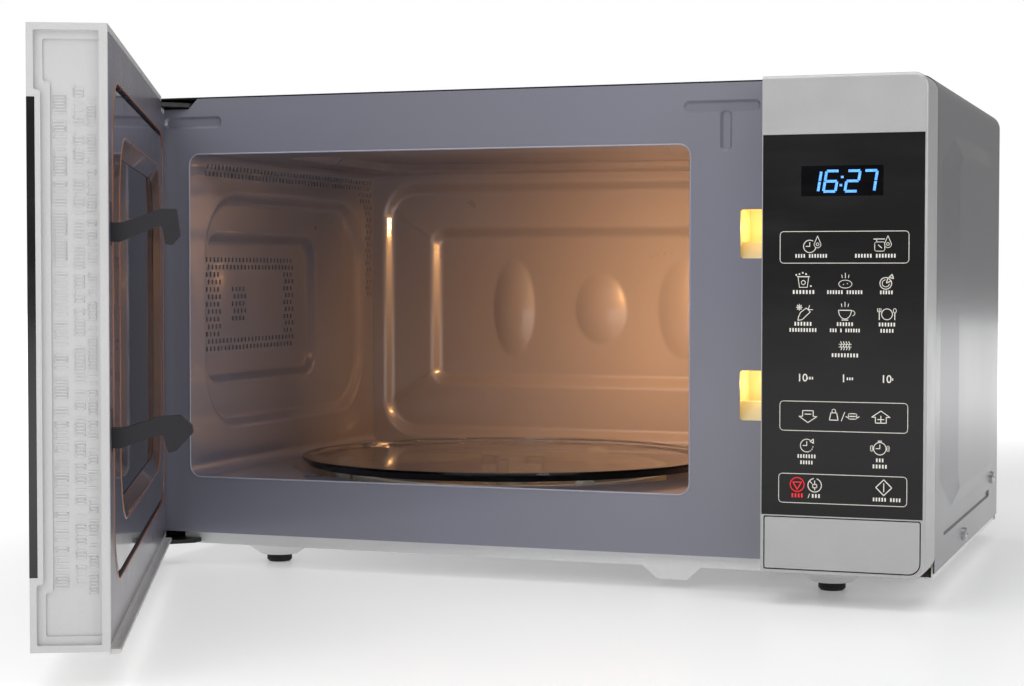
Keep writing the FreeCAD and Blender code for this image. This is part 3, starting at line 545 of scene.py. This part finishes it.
def mica_sheet(name):
    """Flaky pressed mica."""
    f = Finish(name)
    flake = f.add("ShaderNodeSeparateColor", inputs={0: f.cells(420.0, output="Color")})
    return f.surface({
        "Base Color": f.tint(flake, linear("9c8a6c"), linear("c2b292")),
        "Roughness": 0.35 + 0.25 * flake,
        "Normal": f.bump(flake, 0.00004, 0.5),
    })


ROW_SHARE = 0.866


def fine_screen(name, pitch=1.9, hole=0.62):
    """Thin steel sheet with rows of small staggered holes, left open by its alpha."""
    f = Finish(name)
    along = f.axis("X") * math.cos(DOOR_OPEN) - f.axis("Y") * math.sin(DOOR_OPEN)
    across = f.axis("Z")
    step = pitch * MM
    row_height = step * ROW_SHARE
    row = f.maths("FLOOR", across * (1 / row_height))
    odd = f.maths("MODULO", row + 4000.0, 2.0)
    u = f.maths("FRACT", along * (1 / step) + odd * 0.5 + 500.0) - 0.5
    v = (f.maths("FRACT", across * (1 / row_height)) - 0.5) * ROW_SHARE
    reach = f.maths("SQRT", u * u + v * v)
    solid = reach > hole / 2
    patch = f.noise(50.0, 3.0)
    return f.surface({
        "Base Color": f.tint(f.fit(patch, 0.3, 0.7), linear("2a2a2e"), linear("3c3b40")),
        "Metallic": 0.6,
        "Roughness": 0.35 + 0.1 * patch,
        "Alpha": solid,
        "Normal": f.bump(f.fit(reach, hole / 2, hole / 2 + 0.12), 0.0001, 0.6),
    })


def dress(finish, *names):
    """Give every material slot of these CAD nodes one finish."""
    for name in names:
        slots = nodes[name].material_slots
        if not slots:
            nodes[name].data.materials.append(finish)
        for slot in slots:
            slot.material = finish


# New pieces

def new_piece(name, bm, body, finish, turn=None):
    """Turn a bmesh into a piece that rides on a body."""
    mesh = bpy.data.meshes.new(name)
    if turn is not None:
        bmesh.ops.transform(bm, matrix=turn, verts=bm.verts)
    bm.to_mesh(mesh)
    bm.free()
    mesh.materials.append(finish)
    obj = bpy.data.objects.new(name, mesh)
    bpy.context.scene.collection.objects.link(obj)
    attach(obj, body)
    return obj


def block(bm, low, high):
    """Rectangular block between two corners given in drawing millimetres."""
    a, b = point(*low), point(*high)
    size = b - a
    matrix = Matrix.Translation((a + b) / 2) @ Matrix.Diagonal((*[abs(s) for s in size], 1.0))
    bmesh.ops.create_cube(bm, size=1.0, matrix=matrix)


class Print:
    """Flat printing on the face of the control panel, drawn in x and z."""

    def __init__(self, lift=0.0):
        self.bm = bmesh.new()
        self.y = GLASS_FACE - PRINT_THICK / 2 - lift

    def bar(self, a, b, width=LINE):
        (ax, az), (bx, bz) = a, b
        length = math.hypot(bx - ax, bz - az) + width * 0.6
        turn = Matrix.Rotation(-math.atan2(bz - az, bx - ax), 4, "Y")
        size = Matrix.Diagonal((length * MM, PRINT_THICK * MM, width * MM, 1.0))
        middle = point((ax + bx) / 2, self.y, (az + bz) / 2)
        bmesh.ops.create_cube(self.bm, size=1.0, matrix=Matrix.Translation(middle) @ turn @ size)

    def path(self, spots, width=LINE, closed=False):
        ends = spots[1:] + spots[:1] if closed else spots[1:]
        for a, b in zip(spots, ends):
            self.bar(a, b, width)

    def arc(self, x, z, rx, rz, start=0, end=360, width=LINE, steps=20):
        turn = [math.radians(start + (end - start) * i / steps) for i in range(steps + 1)]
        self.path([(x + rx * math.cos(t), z + rz * math.sin(t)) for t in turn], width)

    def dot(self, x, z, radius):
        matrix = Matrix.Translation(point(x, self.y, z)) @ Matrix.Rotation(math.pi / 2, 4, "X")
        bmesh.ops.create_cone(self.bm, cap_ends=True, segments=14, radius1=radius * MM, radius2=radius * MM,
                              depth=PRINT_THICK * MM, matrix=matrix)

    def rounded(self, x0, x1, z0, z1, radius, width=LINE):
        left, right, bottom, top = x0 + radius, x1 - radius, z0 + radius, z1 - radius
        self.path([(left, z0), (right, z0)], width)
        self.path([(left, z1), (right, z1)], width)
        self.path([(x0, bottom), (x0, top)], width)
        self.path([(x1, bottom), (x1, top)], width)
        for x, z, start in ((right, top, 0), (left, top, 90), (left, bottom, 180), (right, bottom, 270)):
            self.arc(x, z, radius, radius, start, start + 90, width, 5)

    def words(self, x, z, lengths, width, height=1.75):
        """Stand-in for a caption: groups of small upright ticks, centred."""
        count = sum(lengths) + len(lengths) - 1
        pitch = width / count
        left = x - width / 2
        place = 0
        for length in lengths:
            for i in range(length):
                middle = left + (place + i + 0.5) * pitch
                self.bar((middle, z - height / 2 + 0.2), (middle, z + height / 2 - 0.2), pitch * 0.52)
            place += length + 1


def drop(ink, x, z):
    ink.path([(x - 1.5, z - 0.4), (x, z + 3.2), (x + 1.5, z - 0.4)])
    ink.arc(x, z - 0.9, 1.65, 1.65, 160, 380, LINE, 12)
    ink.arc(x, z - 0.8, 0.7, 0.7, width=0.3, steps=8)


def clock_face(ink, x, z, radius, start=0, end=360):
    ink.arc(x, z, radius, radius, start, end, 0.42)
    ink.bar((x, z), (x, z + radius * 0.62), 0.4)
    ink.bar((x, z), (x - radius * 0.6, z), 0.4)


def steam(ink, x, z):
    for shift, rise in ((-1.5, 0.0), (0.0, 0.9), (1.5, 0.0)):
        ink.bar((x + shift, z), (x + shift * 1.15, z + 1.4 + rise), 0.32)


def print_legends():
    ink = Print()
    ink.rounded(369.0, 431.2, 167.3, 182.6, 1.8)
    ink.rounded(369.3, 431.2, 86.0, 100.3, 1.8)
    ink.rounded(368.9, 431.0, 50.8, 65.0, 1.8)

    # Defrost by time and by weight
    clock_face(ink, 383.5, 175.4, 3.0, 60, 345)
    drop(ink, 387.3, 177.2)
    ink.words(384.2, 170.8, (4, 7), 16.0)
    ink.path([(414.4, 178.8), (419.6, 178.8)], 0.4)
    ink.bar((415.6, 178.6), (416.2, 177.3))
    ink.rounded(414.9, 419.7, 173.0, 177.4, 0.9)
    ink.bar((416.6, 176.0), (418.2, 174.6), 0.4)
    drop(ink, 421.2, 177.2)
    ink.words(415.2, 170.8, (6, 7), 20.0)

    # Tub, steaming dish and cut disc
    ink.path([(377.9, 160.6), (378.6, 155.6), (382.4, 155.6), (383.1, 160.6)], closed=True)
    ink.bar((377.5, 160.8), (383.5, 160.8), 0.4)
    ink.arc(380.5, 157.9, 1.0, 1.0, width=0.4, steps=10)
    for x, z in ((378.6, 162.0), (380.2, 162.6), (381.8, 162.0), (384.2, 156.2), (377.0, 161.6)):
        ink.dot(x, z, 0.42)
    ink.words(380.6, 153.3, (7,), 11.2)
    ink.arc(400.9, 157.2, 3.2, 1.9)
    ink.dot(400.0, 157.0, 0.25)
    ink.dot(401.9, 157.4, 0.25)
    steam(ink, 400.9, 160.2)
    ink.words(400.6, 153.3, (6, 6), 17.6)
    ink.arc(420.3, 157.6, 2.8, 2.8, 70, 380, 0.45)
    ink.arc(420.3, 157.6, 1.7, 1.7, 100, 350, 0.35, 12)
    ink.path([(420.6, 157.8), (421.3, 160.3), (422.9, 158.7)], 0.4, True)
    ink.path([(421.9, 160.5), (423.3, 161.9), (424.0, 159.9)], 0.45, True)
    ink.words(420.6, 153.3, (5,), 6.6)

    # Root with a crystal, cup and laid plate
    ink.path([(379.2, 143.4), (382.0, 145.6), (384.0, 143.7), (380.0, 139.9), (377.9, 139.6), (378.2, 141.2)],
             0.36, True)
    for x, z in ((383.6, 146.8), (385.2, 144.8)):
        ink.bar((382.9, 144.8), (x, z), 0.34)
    for turn in range(0, 180, 45):
        dx, dz = 1.5 * math.cos(math.radians(turn)), 1.5 * math.sin(math.radians(turn))
        ink.bar((378.6 - dx, 145.9 - dz), (378.6 + dx, 145.9 + dz), 0.3)
    ink.arc(378.6, 145.9, 1.0, 1.0, width=0.28, steps=10)
    ink.words(380.4, 137.9, (6,), 9.0)
    ink.words(380.4, 134.9, (10,), 13.8)
    ink.path([(397.6, 144.6), (404.0, 144.6)], 0.4)
    ink.arc(400.8, 144.6, 3.1, 4.2, 180, 360, 0.36, 12)
    ink.arc(404.4, 143.2, 1.2, 1.2, -80, 110, 0.34, 8)
    ink.bar((399.3, 139.9), (402.3, 139.9), 0.4)
    steam(ink, 400.8, 146.3)
    ink.words(400.8, 137.9, (6,), 8.4)
    ink.words(400.8, 134.9, (3, 1, 6), 15.0)
    ink.arc(421.0, 142.8, 2.6, 2.6, width=0.4)
    ink.bar((417.3, 145.0), (417.3, 140.2), 0.4)
    for x in (416.5, 417.3, 418.1):
        ink.bar((x, 145.6), (x, 144.1), 0.3)
    ink.bar((416.5, 144.0), (418.1, 144.0), 0.3)
    ink.bar((424.7, 143.6), (424.7, 140.2), 0.4)
    ink.arc(424.7, 144.5, 0.75, 1.1, width=0.3, steps=10)
    ink.words(421.0, 137.9, (6,), 8.4)
    ink.words(421.0, 134.9, (5,), 6.8)

    # Heating waves
    for x in (399.1, 400.4, 401.7, 403.0):
        ink.path([(x - 0.3, 129.5), (x + 0.3, 128.4), (x - 0.3, 127.3), (x + 0.3, 126.2),
                  (x - 0.1, 125.5)], 0.36)
    for z in (128.2, 126.9):
        ink.bar((398.0, z), (404.0, z), 0.3)
    ink.words(400.9, 122.9, (9,), 13.4)

    # Time keys: the numbers are set as type below, with a tick mark for each unit
    for x in (384.0, 403.4):
        ink.words(x, 111.6, (3,), 3.6, 1.3)
    ink.words(423.9, 111.6, (1,), 0.9, 1.3)

    # Less and more, with a dish between them
    for x, z, way in ((383.1, 93.2, -1), (418.4, 93.2, 1)):
        ink.path([(x - 2.6, z - 2.6 * way), (x + 2.6, z - 2.6 * way), (x + 2.6, z + 0.2 * way),
                  (x + 4.4, z + 0.2 * way), (x, z + 3.2 * way), (x - 4.4, z + 0.2 * way),
                  (x - 2.6, z + 0.2 * way)], 0.4, True)
        ink.bar((x - 1.5, z - 0.9 * way), (x + 1.5, z - 0.9 * way), 0.42)
    ink.bar((418.4, 90.8), (418.4, 94.0), 0.42)
    ink.path([(393.6, 91.5), (394.3, 95.0), (397.1, 95.0), (397.8, 91.5)], 0.42, True)
    ink.arc(395.7, 95.9, 0.9, 0.9, width=0.36, steps=10)
    ink.bar((399.4, 91.2), (401.0, 95.4), 0.36)
    ink.rounded(402.8, 406.8, 92.2, 94.8, 0.6, 0.4)
    ink.bar((403.4, 93.5), (406.2, 93.5), 0.5)
    ink.bar((401.6, 93.4), (402.6, 92.8), 0.4)
    ink.bar((408.0, 93.4), (407.0, 92.8), 0.4)

    # Timer and clock keys
    clock_face(ink, 382.6, 78.8, 3.1, 60, 290)
    for start in (300, 322, 344):
        ink.arc(382.6, 78.8, 3.1, 3.1, start, start + 10, 0.4, 2)
    ink.path([(384.3, 80.9), (385.8, 82.0), (385.9, 79.9)], 0.45, True)
    ink.words(382.5, 73.6, (7,), 9.4)
    ink.words(382.5, 70.6, (5,), 6.6)
    clock_face(ink, 418.0, 78.3, 3.0)
    for way in (-1, 1):
        ink.rounded(418.0 + way * 3.9 - 0.5, 418.0 + way * 3.9 + 0.5, 77.1, 79.6, 0.3, 0.36)
    ink.bar((417.2, 81.9), (418.8, 81.9), 0.5)
    ink.words(418.0, 72.7, (3,), 4.2)
    ink.words(418.0, 69.7, (5,), 7.4)

    # Saving and start keys
    ink.arc(386.6, 59.6, 3.3, 3.3, 100, 430, 0.45)
    ink.bar((386.6, 61.8), (386.6, 60.2), 0.4)
    ink.rounded(385.6, 387.6, 58.4, 60.0, 0.4, 0.5)
    ink.bar((386.6, 58.2), (386.6, 57.3), 0.4)
    ink.bar((384.2, 61.6), (385.2, 60.4), 0.4)
    ink.bar((383.4, 53.4), (384.1, 55.3), 0.32)
    ink.words(387.2, 54.4, (3,), 4.6)
    ink.path([(420.0, 63.4), (423.8, 59.6), (420.0, 55.8), (416.2, 59.6)], 0.45, True)
    ink.bar((420.0, 61.6), (420.0, 57.6), 0.42)
    ink.words(421.4, 53.8, (5, 4), 13.8)
    new_piece("panel_legends", ink.bm, "chassis", PALE_INK)

    stop = Print()
    stop.arc(378.0, 59.7, 3.4, 3.4, width=0.5, steps=26)
    stop.path([(375.9, 60.9), (380.1, 60.9), (378.0, 57.3)], 0.5, True)
    stop.words(378.0, 54.4, (4,), 6.2, 1.9)
    new_piece("panel_stop_mark", stop.bm, "chassis", RED_INK)


def set_number(name, text, x, z, size):
    """A number set in type on the panel's face."""
    curve = bpy.data.curves.new(name, "FONT")
    curve.body = text
    curve.size = size * MM
    curve.extrude = PRINT_THICK * MM / 2
    curve.offset = TYPE_WEIGHT * MM
    curve.resolution_u = 4
    mesh = bpy.data.meshes.new_from_object(bpy.data.objects.new(name, curve))
    bm = bmesh.new()
    bm.from_mesh(mesh)
    place = Matrix.Translation(point(x, GLASS_FACE - PRINT_THICK / 2, z))
    new_piece(name, bm, "chassis", PALE_INK, turn=place @ Matrix.Rotation(math.pi / 2, 4, "X"))


def light_digits():
    """Slanted seven-segment clock digits shining through the panel."""
    window = Print()
    block(window.bm, (379.2, GLASS_FACE - 0.02, 199.6), (418.9, GLASS_FACE, 214.2))
    new_piece("display_window", window.bm, "chassis", WINDOW_TINT)
    lit = Print(0.03)

    def spot(left, u, v):
        return left + u * DIGIT_WIDTH + v * DIGIT_HEIGHT * DIGIT_SLANT, DIGIT_BASE + v * DIGIT_HEIGHT

    ends = {"a": ((0.08, 1), (0.92, 1)), "g": ((0.08, 0.5), (0.92, 0.5)), "d": ((0.08, 0), (0.92, 0)),
            "f": ((0, 0.56), (0, 0.94)), "b": ((1, 0.56), (1, 0.94)),
            "e": ((0, 0.06), (0, 0.44)), "c": ((1, 0.06), (1, 0.44))}
    for digit, left in (("1", 381.6), ("6", 390.0), ("2", 400.4), ("7", 408.6)):
        for segment in SEGMENTS[digit]:
            a, b = (spot(left, *end) for end in ends[segment])
            lit.bar(a, b, DIGIT_STROKE)
    for v in (0.3, 0.7):
        x, z = spot(398.0, 0, v)
        lit.bar((x - 0.3, z), (x + 0.3, z), 1.1)
    new_piece("display_digits", lit.bm, "chassis", DISPLAY_BLUE)


def raise_edge_marks():
    """Three columns of raised blank marks in the recess of the door's free edge, in place of lettering."""
    bm = bmesh.new()
    floor = DOOR_RIGHT - RECESS_DEPTH
    for y, tall, pitch, low, high in MARK_COLUMNS:
        z = low
        while z < high:
            for _ in range(random.randint(2, 9)):
                pattern = random.choice(("post", "pair", "frame", "frame", "step"))
                y0, y1 = y - tall / 2, y + tall / 2
                z1 = z + pitch * 0.68
                parts = [((y0, z), (y1, z + STROKE))]
                if pattern in ("pair", "frame"):
                    parts.append(((y0, z1 - STROKE), (y1, z1)))
                if pattern in ("frame", "step"):
                    parts.append(((y0, z), (y0 + STROKE, z1)))
                if pattern == "frame":
                    parts.append(((y1 - STROKE, z), (y1, z1)))
                for (ya, za), (yb, zb) in parts:
                    block(bm, (floor - 0.05, ya, za), (floor + MARK_RELIEF, yb, zb))
                z += pitch
                if z > high:
                    break
            z += pitch * 0.8
    new_piece("door_edge_marks", bm, "door", LIT_EDGE_MARKS, SWING)


def perforate_screen():
    """Finely perforated screen behind the window, in place of the coarse one."""
    bm = bmesh.new()
    block(bm, (50.0, DOOR_BACK - 9.2, 62.0), (311.0, DOOR_BACK - 8.9, 215.0))
    screen = new_piece("door_fine_screen", bm, "door", FINE_SCREEN, SWING)
    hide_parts("door_screen")


def smooth(bm):
    for face in bm.faces:
        face.smooth = True


def rounded_loop(low_x, high_x, low_z, high_z, radius, y, steps):
    """Spots along a rounded rectangle that stands upright at one y."""
    right, left = high_x - radius, low_x + radius
    top, bottom = high_z - radius, low_z + radius
    spots = []
    for x, z, start in ((right, top, 0), (left, top, 90), (left, bottom, 180), (right, bottom, 270)):
        for i in range(steps + 1):
            turn = math.radians(start + 90 * i / steps)
            spots.append(point(x + radius * math.cos(turn), y, z + radius * math.sin(turn)))
    return spots


def round_bead(name, spots, radius, finish, body):
    """Thin round bead along a closed line of spots."""
    curve = bpy.data.curves.new(name, "CURVE")
    curve.dimensions = "3D"
    curve.bevel_depth = radius * MM
    curve.bevel_resolution = 2
    line = curve.splines.new("POLY")
    line.points.add(len(spots) - 1)
    for place, spot in zip(line.points, spots):
        place.co = (*spot, 1.0)
    line.use_cyclic_u = True
    mesh = bpy.data.meshes.new_from_object(bpy.data.objects.new(name, curve))
    bm = bmesh.new()
    bm.from_mesh(mesh)
    smooth(bm)
    new_piece(name, bm, body, finish)


def rim_mouth():
    """Rolled edge of the enamelled front plate around the cavity's mouth, in a lighter enamel that paints a
    highlight along it.
    """
    spots = rounded_loop(29.2, 315.8, 49.0, 228.1, 6.2, 0.1, 8)
    round_bead("mouth_rim", spots, 0.45, RIM_LIT_ENAMEL, "chassis")


def paint_groove_reflections():
    """Coppery lines at the door's choke groove and at the window's recess: a painted reflection of the warm
    lit cavity.
    """
    for name, outline in (("choke_groove_reflection", (20.6, 340.4, 37.6, 238.9, 26.4)),
                          ("window_recess_reflection", (49.0, 309.0, 58.0, 219.0, 31.0))):
        spots = [SWING @ spot for spot in rounded_loop(*outline, DOOR_BACK - 0.15, 12)]
        round_bead(name, spots, 0.5, GROOVE_REFLECTION_ENAMEL, "door")


def wind_spring(node, body, start, along, radius, wire, pitch, length):
    """Coil spring of round wire, wound from start towards its far end."""
    bm = bmesh.new()
    bmesh.ops.create_circle(bm, segments=8, radius=wire * MM)
    bmesh.ops.rotate(bm, verts=bm.verts, matrix=Matrix.Rotation(math.pi / 2, 3, "X"))
    bmesh.ops.translate(bm, verts=bm.verts, vec=(radius * MM, 0, 0))
    turns = length / pitch
    steps = round(16 * turns)
    bmesh.ops.spin(bm, geom=bm.verts[:] + bm.edges[:], cent=(0, 0, 0), axis=(0, 0, 1),
                   dvec=(0, 0, length * MM / steps), angle=math.tau * turns, steps=steps)
    bmesh.ops.holes_fill(bm, edges=[edge for edge in bm.edges if edge.is_boundary])
    bmesh.ops.recalc_face_normals(bm, faces=bm.faces)
    smooth(bm)
    lean = Vector((0, 0, 1)).rotation_difference(Vector(along)).to_matrix()
    bmesh.ops.rotate(bm, verts=bm.verts, matrix=lean)
    bmesh.ops.translate(bm, verts=bm.verts, vec=point(*start))
    turn = SWING if body == "door" else None
    spring = new_piece(node.replace("spring", "coil"), bm, body, STEEL, turn)
    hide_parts(node)
    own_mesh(spring)


def soft_least(first, second, blend):
    """Smaller of two values, with the changeover rounded."""
    share = max(blend - abs(first - second), 0.0) / blend
    return min(first, second) - share * share * blend / 4


def rounded_inside(x, z, low_x, high_x, low_z, high_z, radius):
    """How far a spot lies inside a rounded rectangle, in millimetres."""
    across = abs(x - (low_x + high_x) / 2) - (high_x - low_x) / 2 + radius
    up = abs(z - (low_z + high_z) / 2) - (high_z - low_z) / 2 + radius
    return radius - math.hypot(max(across, 0.0), max(up, 0.0)) - min(max(across, up), 0.0)


def eased_step(inside, width):
    """Drop of a pressed step, eased at both ends, at a distance inside its edge."""
    share = min(max(inside / width, 0.0), 1.0)
    return STEP_DROP * share * share * (3.0 - 2.0 * share)


def crease(x, z, start, end):
    """Height of the fine bead where two slopes of the pressing meet, along a line."""
    run = (end[0] - start[0], end[1] - start[1])
    length = math.hypot(*run)
    share = ((x - start[0]) * run[0] + (z - start[1]) * run[1]) / length ** 2
    away = abs((x - start[0]) * run[1] - (z - start[1]) * run[0]) / length
    fade = min(max(6.0 * share, 0.0), 1.0) * min(max(6.0 * (1.0 - share), 0.0), 1.0)
    return CREASE_HEIGHT * fade * math.exp(-((away / CREASE_WIDTH) ** 2))


def wall_depth(x, z):
    """Depth of the back wall's pressing: an outer and an inner step, creased corners and three swells."""
    depth = eased_step(rounded_inside(x, z, 36.0, 309.0, 53.0, 223.0, 24.0), 8.0)
    depth += eased_step(rounded_inside(x, z, 68.0, 277.0, 87.0, 194.0, 12.0), 9.0)
    for start, end in (((41.0, 205.5), (71.0, 186.5)), ((41.0, 75.0), (71.0, 96.0))):
        depth -= crease(x, z, start, end)
    for middle, half_width, half_height in SWELLS:
        reach = ((x - middle) / half_width) ** 2 + ((z - SWELL_MIDDLE) / half_height) ** 2
        depth += soft_least(reach - 1.0, 0.0, 0.08) * SWELL_RISE
    return depth


def press_back_wall():
    """Back wall of the cavity with its soft pressing, in one smooth sheet."""
    bm = bmesh.new()
    low, high = (millimetres(corner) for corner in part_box("cavity_back_wall"))
    bmesh.ops.create_grid(bm, x_segments=236, y_segments=140, size=0.5)
    wide, tall = high.x - low.x, high.z - low.z
    for vert in bm.verts:
        x, z = low.x + (vert.co.x + 0.5) * wide, low.z + (vert.co.y + 0.5) * tall
        vert.co = point(x, low.y + wall_depth(x, z), z)
    bmesh.ops.recalc_face_normals(bm, faces=bm.faces)
    if bm.faces[0].normal.y > 0:
        bmesh.ops.reverse_faces(bm, faces=bm.faces)
    bmesh.ops.solidify(bm, geom=bm.verts[:] + bm.edges[:] + bm.faces[:], thickness=SHEET_THICK * MM)
    smooth(bm)
    wall = new_piece("cavity_pressed_back", bm, "chassis", CAVITY_ENAMEL)
    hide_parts("cavity_back_wall")


# Finishes of this oven

SILVER = silver_paint("silver_moulding", "b4b4b5")
SILVER_EDGE = silver_paint("silver_door_edge", "c4c4c4", 0.25, 0.4)
# Lighter copy of the door edge's silver: a painted highlight on the raised marks
LIT_EDGE_MARKS = silver_paint("silver_raised_marks_painted_highlight", "cccccc", 0.25, 0.36)
CASING = casing_lacquer("casing_lacquer", "76767a")
ENAMEL = enamel("grey_enamel", "7b7c8b", 0.34, "7a7068", 0.4, 0.12)
# Lighter, glossier copy of the grey enamel: a painted highlight along the mouth's rim
RIM_LIT_ENAMEL = enamel("rim_enamel_painted_highlight", "9c9cae", 0.25, "a8a098", 0.6, 0.08)
CAVITY_ENAMEL = enamel("cavity_enamel", "747584", 0.32, "6e6258", 0.75, 0.07, 0.000008)
# Darker copy of the grey enamel: painted shade on the door's inner panel
DOOR_SHADED_ENAMEL = enamel("door_enamel_painted_shade", "5b5865", 0.3, "5e5048", 0.2, 0.12)
# Copper-brown enamel: painted reflection of the warm cavity light in the door's grooves
GROOVE_REFLECTION_ENAMEL = enamel("groove_painted_reflection", "8a5636", 0.3, "6e4a34", 0.3, 0.1)
PANEL_GLASS = black_glass("panel_glass", "1b1b1c", 0.14, 0.2)
DOOR_GLASS = black_glass("door_glass_black")
COVER = plastic("choke_cover_plastic", "2c2932", 0.1, 0.000004, 900.0, 0.5)
BLACK = plastic("black_plastic", "141315", 0.35)
HOOK = plastic("hook_plastic", "0a0510", 0.6, 0.00001, 900.0)
WHITE = plastic("white_plastic", "dcd6c8", 0.42)
CREAM = plastic("bracket_plastic", "efe6c0", 0.45)
RUBBER = plastic("foot_rubber", "121212", 0.6, 0.00005, 700.0)
STEEL = bare_metal("bright_steel", "c6c6c8", 0.22)
BLACK_STEEL = hinge_steel("blacked_steel")
ZINC = zinc_sheet("zinc_sheet", "c9cbcc")
BASE = silver_paint("base_coating", "f0f0f0", 0.1, 0.4)
PLATE_GLASS = clear_glass("turntable_glass")
PANE = clear_glass("window_pane", "1a181c", 0.03, 1.5)
MICA = mica_sheet("mica_sheet")
BOARD = circuit_board("circuit_board")
COPPER = windings("copper_windings")
CORE = laminations("core_plates")
ALUMINIUM = bare_metal("aluminium", "cfd2d4", 0.3, (60.0, 1200.0, 60.0))
BULB = glowing("lamp_glass", "ffc070", 6.0)
DISPLAY = black_glass("display_module", "0c0d12")
FINE_SCREEN = fine_screen("fine_screen")
PALE_INK = printed_ink("pale_ink_painted_glow", "dedad2", 0.2)
RED_INK = printed_ink("red_ink_painted_glow", "e0222e", 0.35)
DISPLAY_BLUE = glowing("display_blue", "559cf4", 1.05)
WINDOW_TINT = black_glass("display_tint", "060608", 0.14, 0.1)

# The oven, then its stage

dress(SILVER, "control_housing", "open_button")
dress(SILVER_EDGE, "door_frame")
dress(CASING, "wrapper")
dress(ENAMEL, "front_plate")
dress(CAVITY_ENAMEL, "cavity_left_wall", "cavity_right_wall", "cavity_ceiling", "cavity_floor",
      "cavity_back_wall")
dress(DOOR_SHADED_ENAMEL, "door_inner_panel")
dress(PANEL_GLASS, "control_glass")
dress(DOOR_GLASS, "door_glass")
dress(COVER, "door_choke_cover")
dress(BLACK, "rear_spacer_left", "rear_spacer_right", "cord_inlet", "door_switch_upper", "door_switch_middle",
      "door_switch_lower", "hv_diode", "fan_shroud", "air_duct")
dress(HOOK, "latch_hooks")
dress(WHITE, "turntable_shaft", "turntable_coupler", "roller_ring", "roller_1", "roller_2", "roller_3",
      "release_slider", "fan_impeller", "lamp_holder")
dress(CREAM, "latch_bracket")
dress(RUBBER, "foot_front_left", "foot_front_right", "foot_back_left", "foot_back_right")
dress(STEEL, "casing_screws", "turntable_motor", "latch_spring", "button_spring", "door_screen")
dress(BLACK_STEEL, "hinge_upper", "hinge_lower")
dress(ZINC, "rear_panel", "waveguide")
dress(BASE, "base_plate")
dress(PLATE_GLASS, "glass_turntable")
dress(PANE, "door_window")
dress(MICA, "waveguide_cover")
dress(BOARD, "control_board", "filter_board")
dress(COPPER, "transformer_windings")
dress(CORE, "transformer_core", "fan_motor")
dress(ALUMINIUM, "magnetron", "hv_capacitor")
dress(BULB, "lamp_bulb")
dress(DISPLAY, "display_module")

print_legends()
for place, text, x in (("left", "10", 377.6), ("middle", "1", 399.0), ("right", "10", 418.2)):
    set_number("panel_number_" + place, text, x, 110.0, 5.3)
light_digits()
raise_edge_marks()
perforate_screen()
press_back_wall()
rim_mouth()
paint_groove_reflections()
wind_spring("latch_spring", "door", (348.0, -12.0, 200.6), (0, 0, 1), 2.4, 0.4, 2.2, 12.0)
wind_spring("button_spring", "chassis", (400.0, -27.7, 31.0), (0, 1, 0), 3.6, 0.45, 4.0, 26.4)

make_camera()
lay_floor()
light_sky()

area_light("top_softbox", (0.0, -0.6, 2.4), (0.0, -0.5, 0.0), (3.2, 2.4), 38.0)
area_light("key_softbox", (-0.2, -2.0, 1.2), (0.0, 0.0, 0.1), (1.2, 0.9), 9.5)
area_light("side_softbox", (1.5, -0.75, 0.7), (-0.1, -0.1, 0.1), (0.5, 0.5), 4.6)

area_light("cavity_lamp", point(311, 60, 205), point(235, 250, 115), (0.03, 0.02), 0.7, (1.0, 0.48, 0.17), 95)
glow("slot_glow_upper", point(350, 20, 186), 0.004, 0.009, (1.0, 0.66, 0.26))
glow("slot_glow_lower", point(350, 20, 106), 0.004, 0.008, (1.0, 0.68, 0.32))

bpy.context.scene.view_settings.view_transform = "Standard"
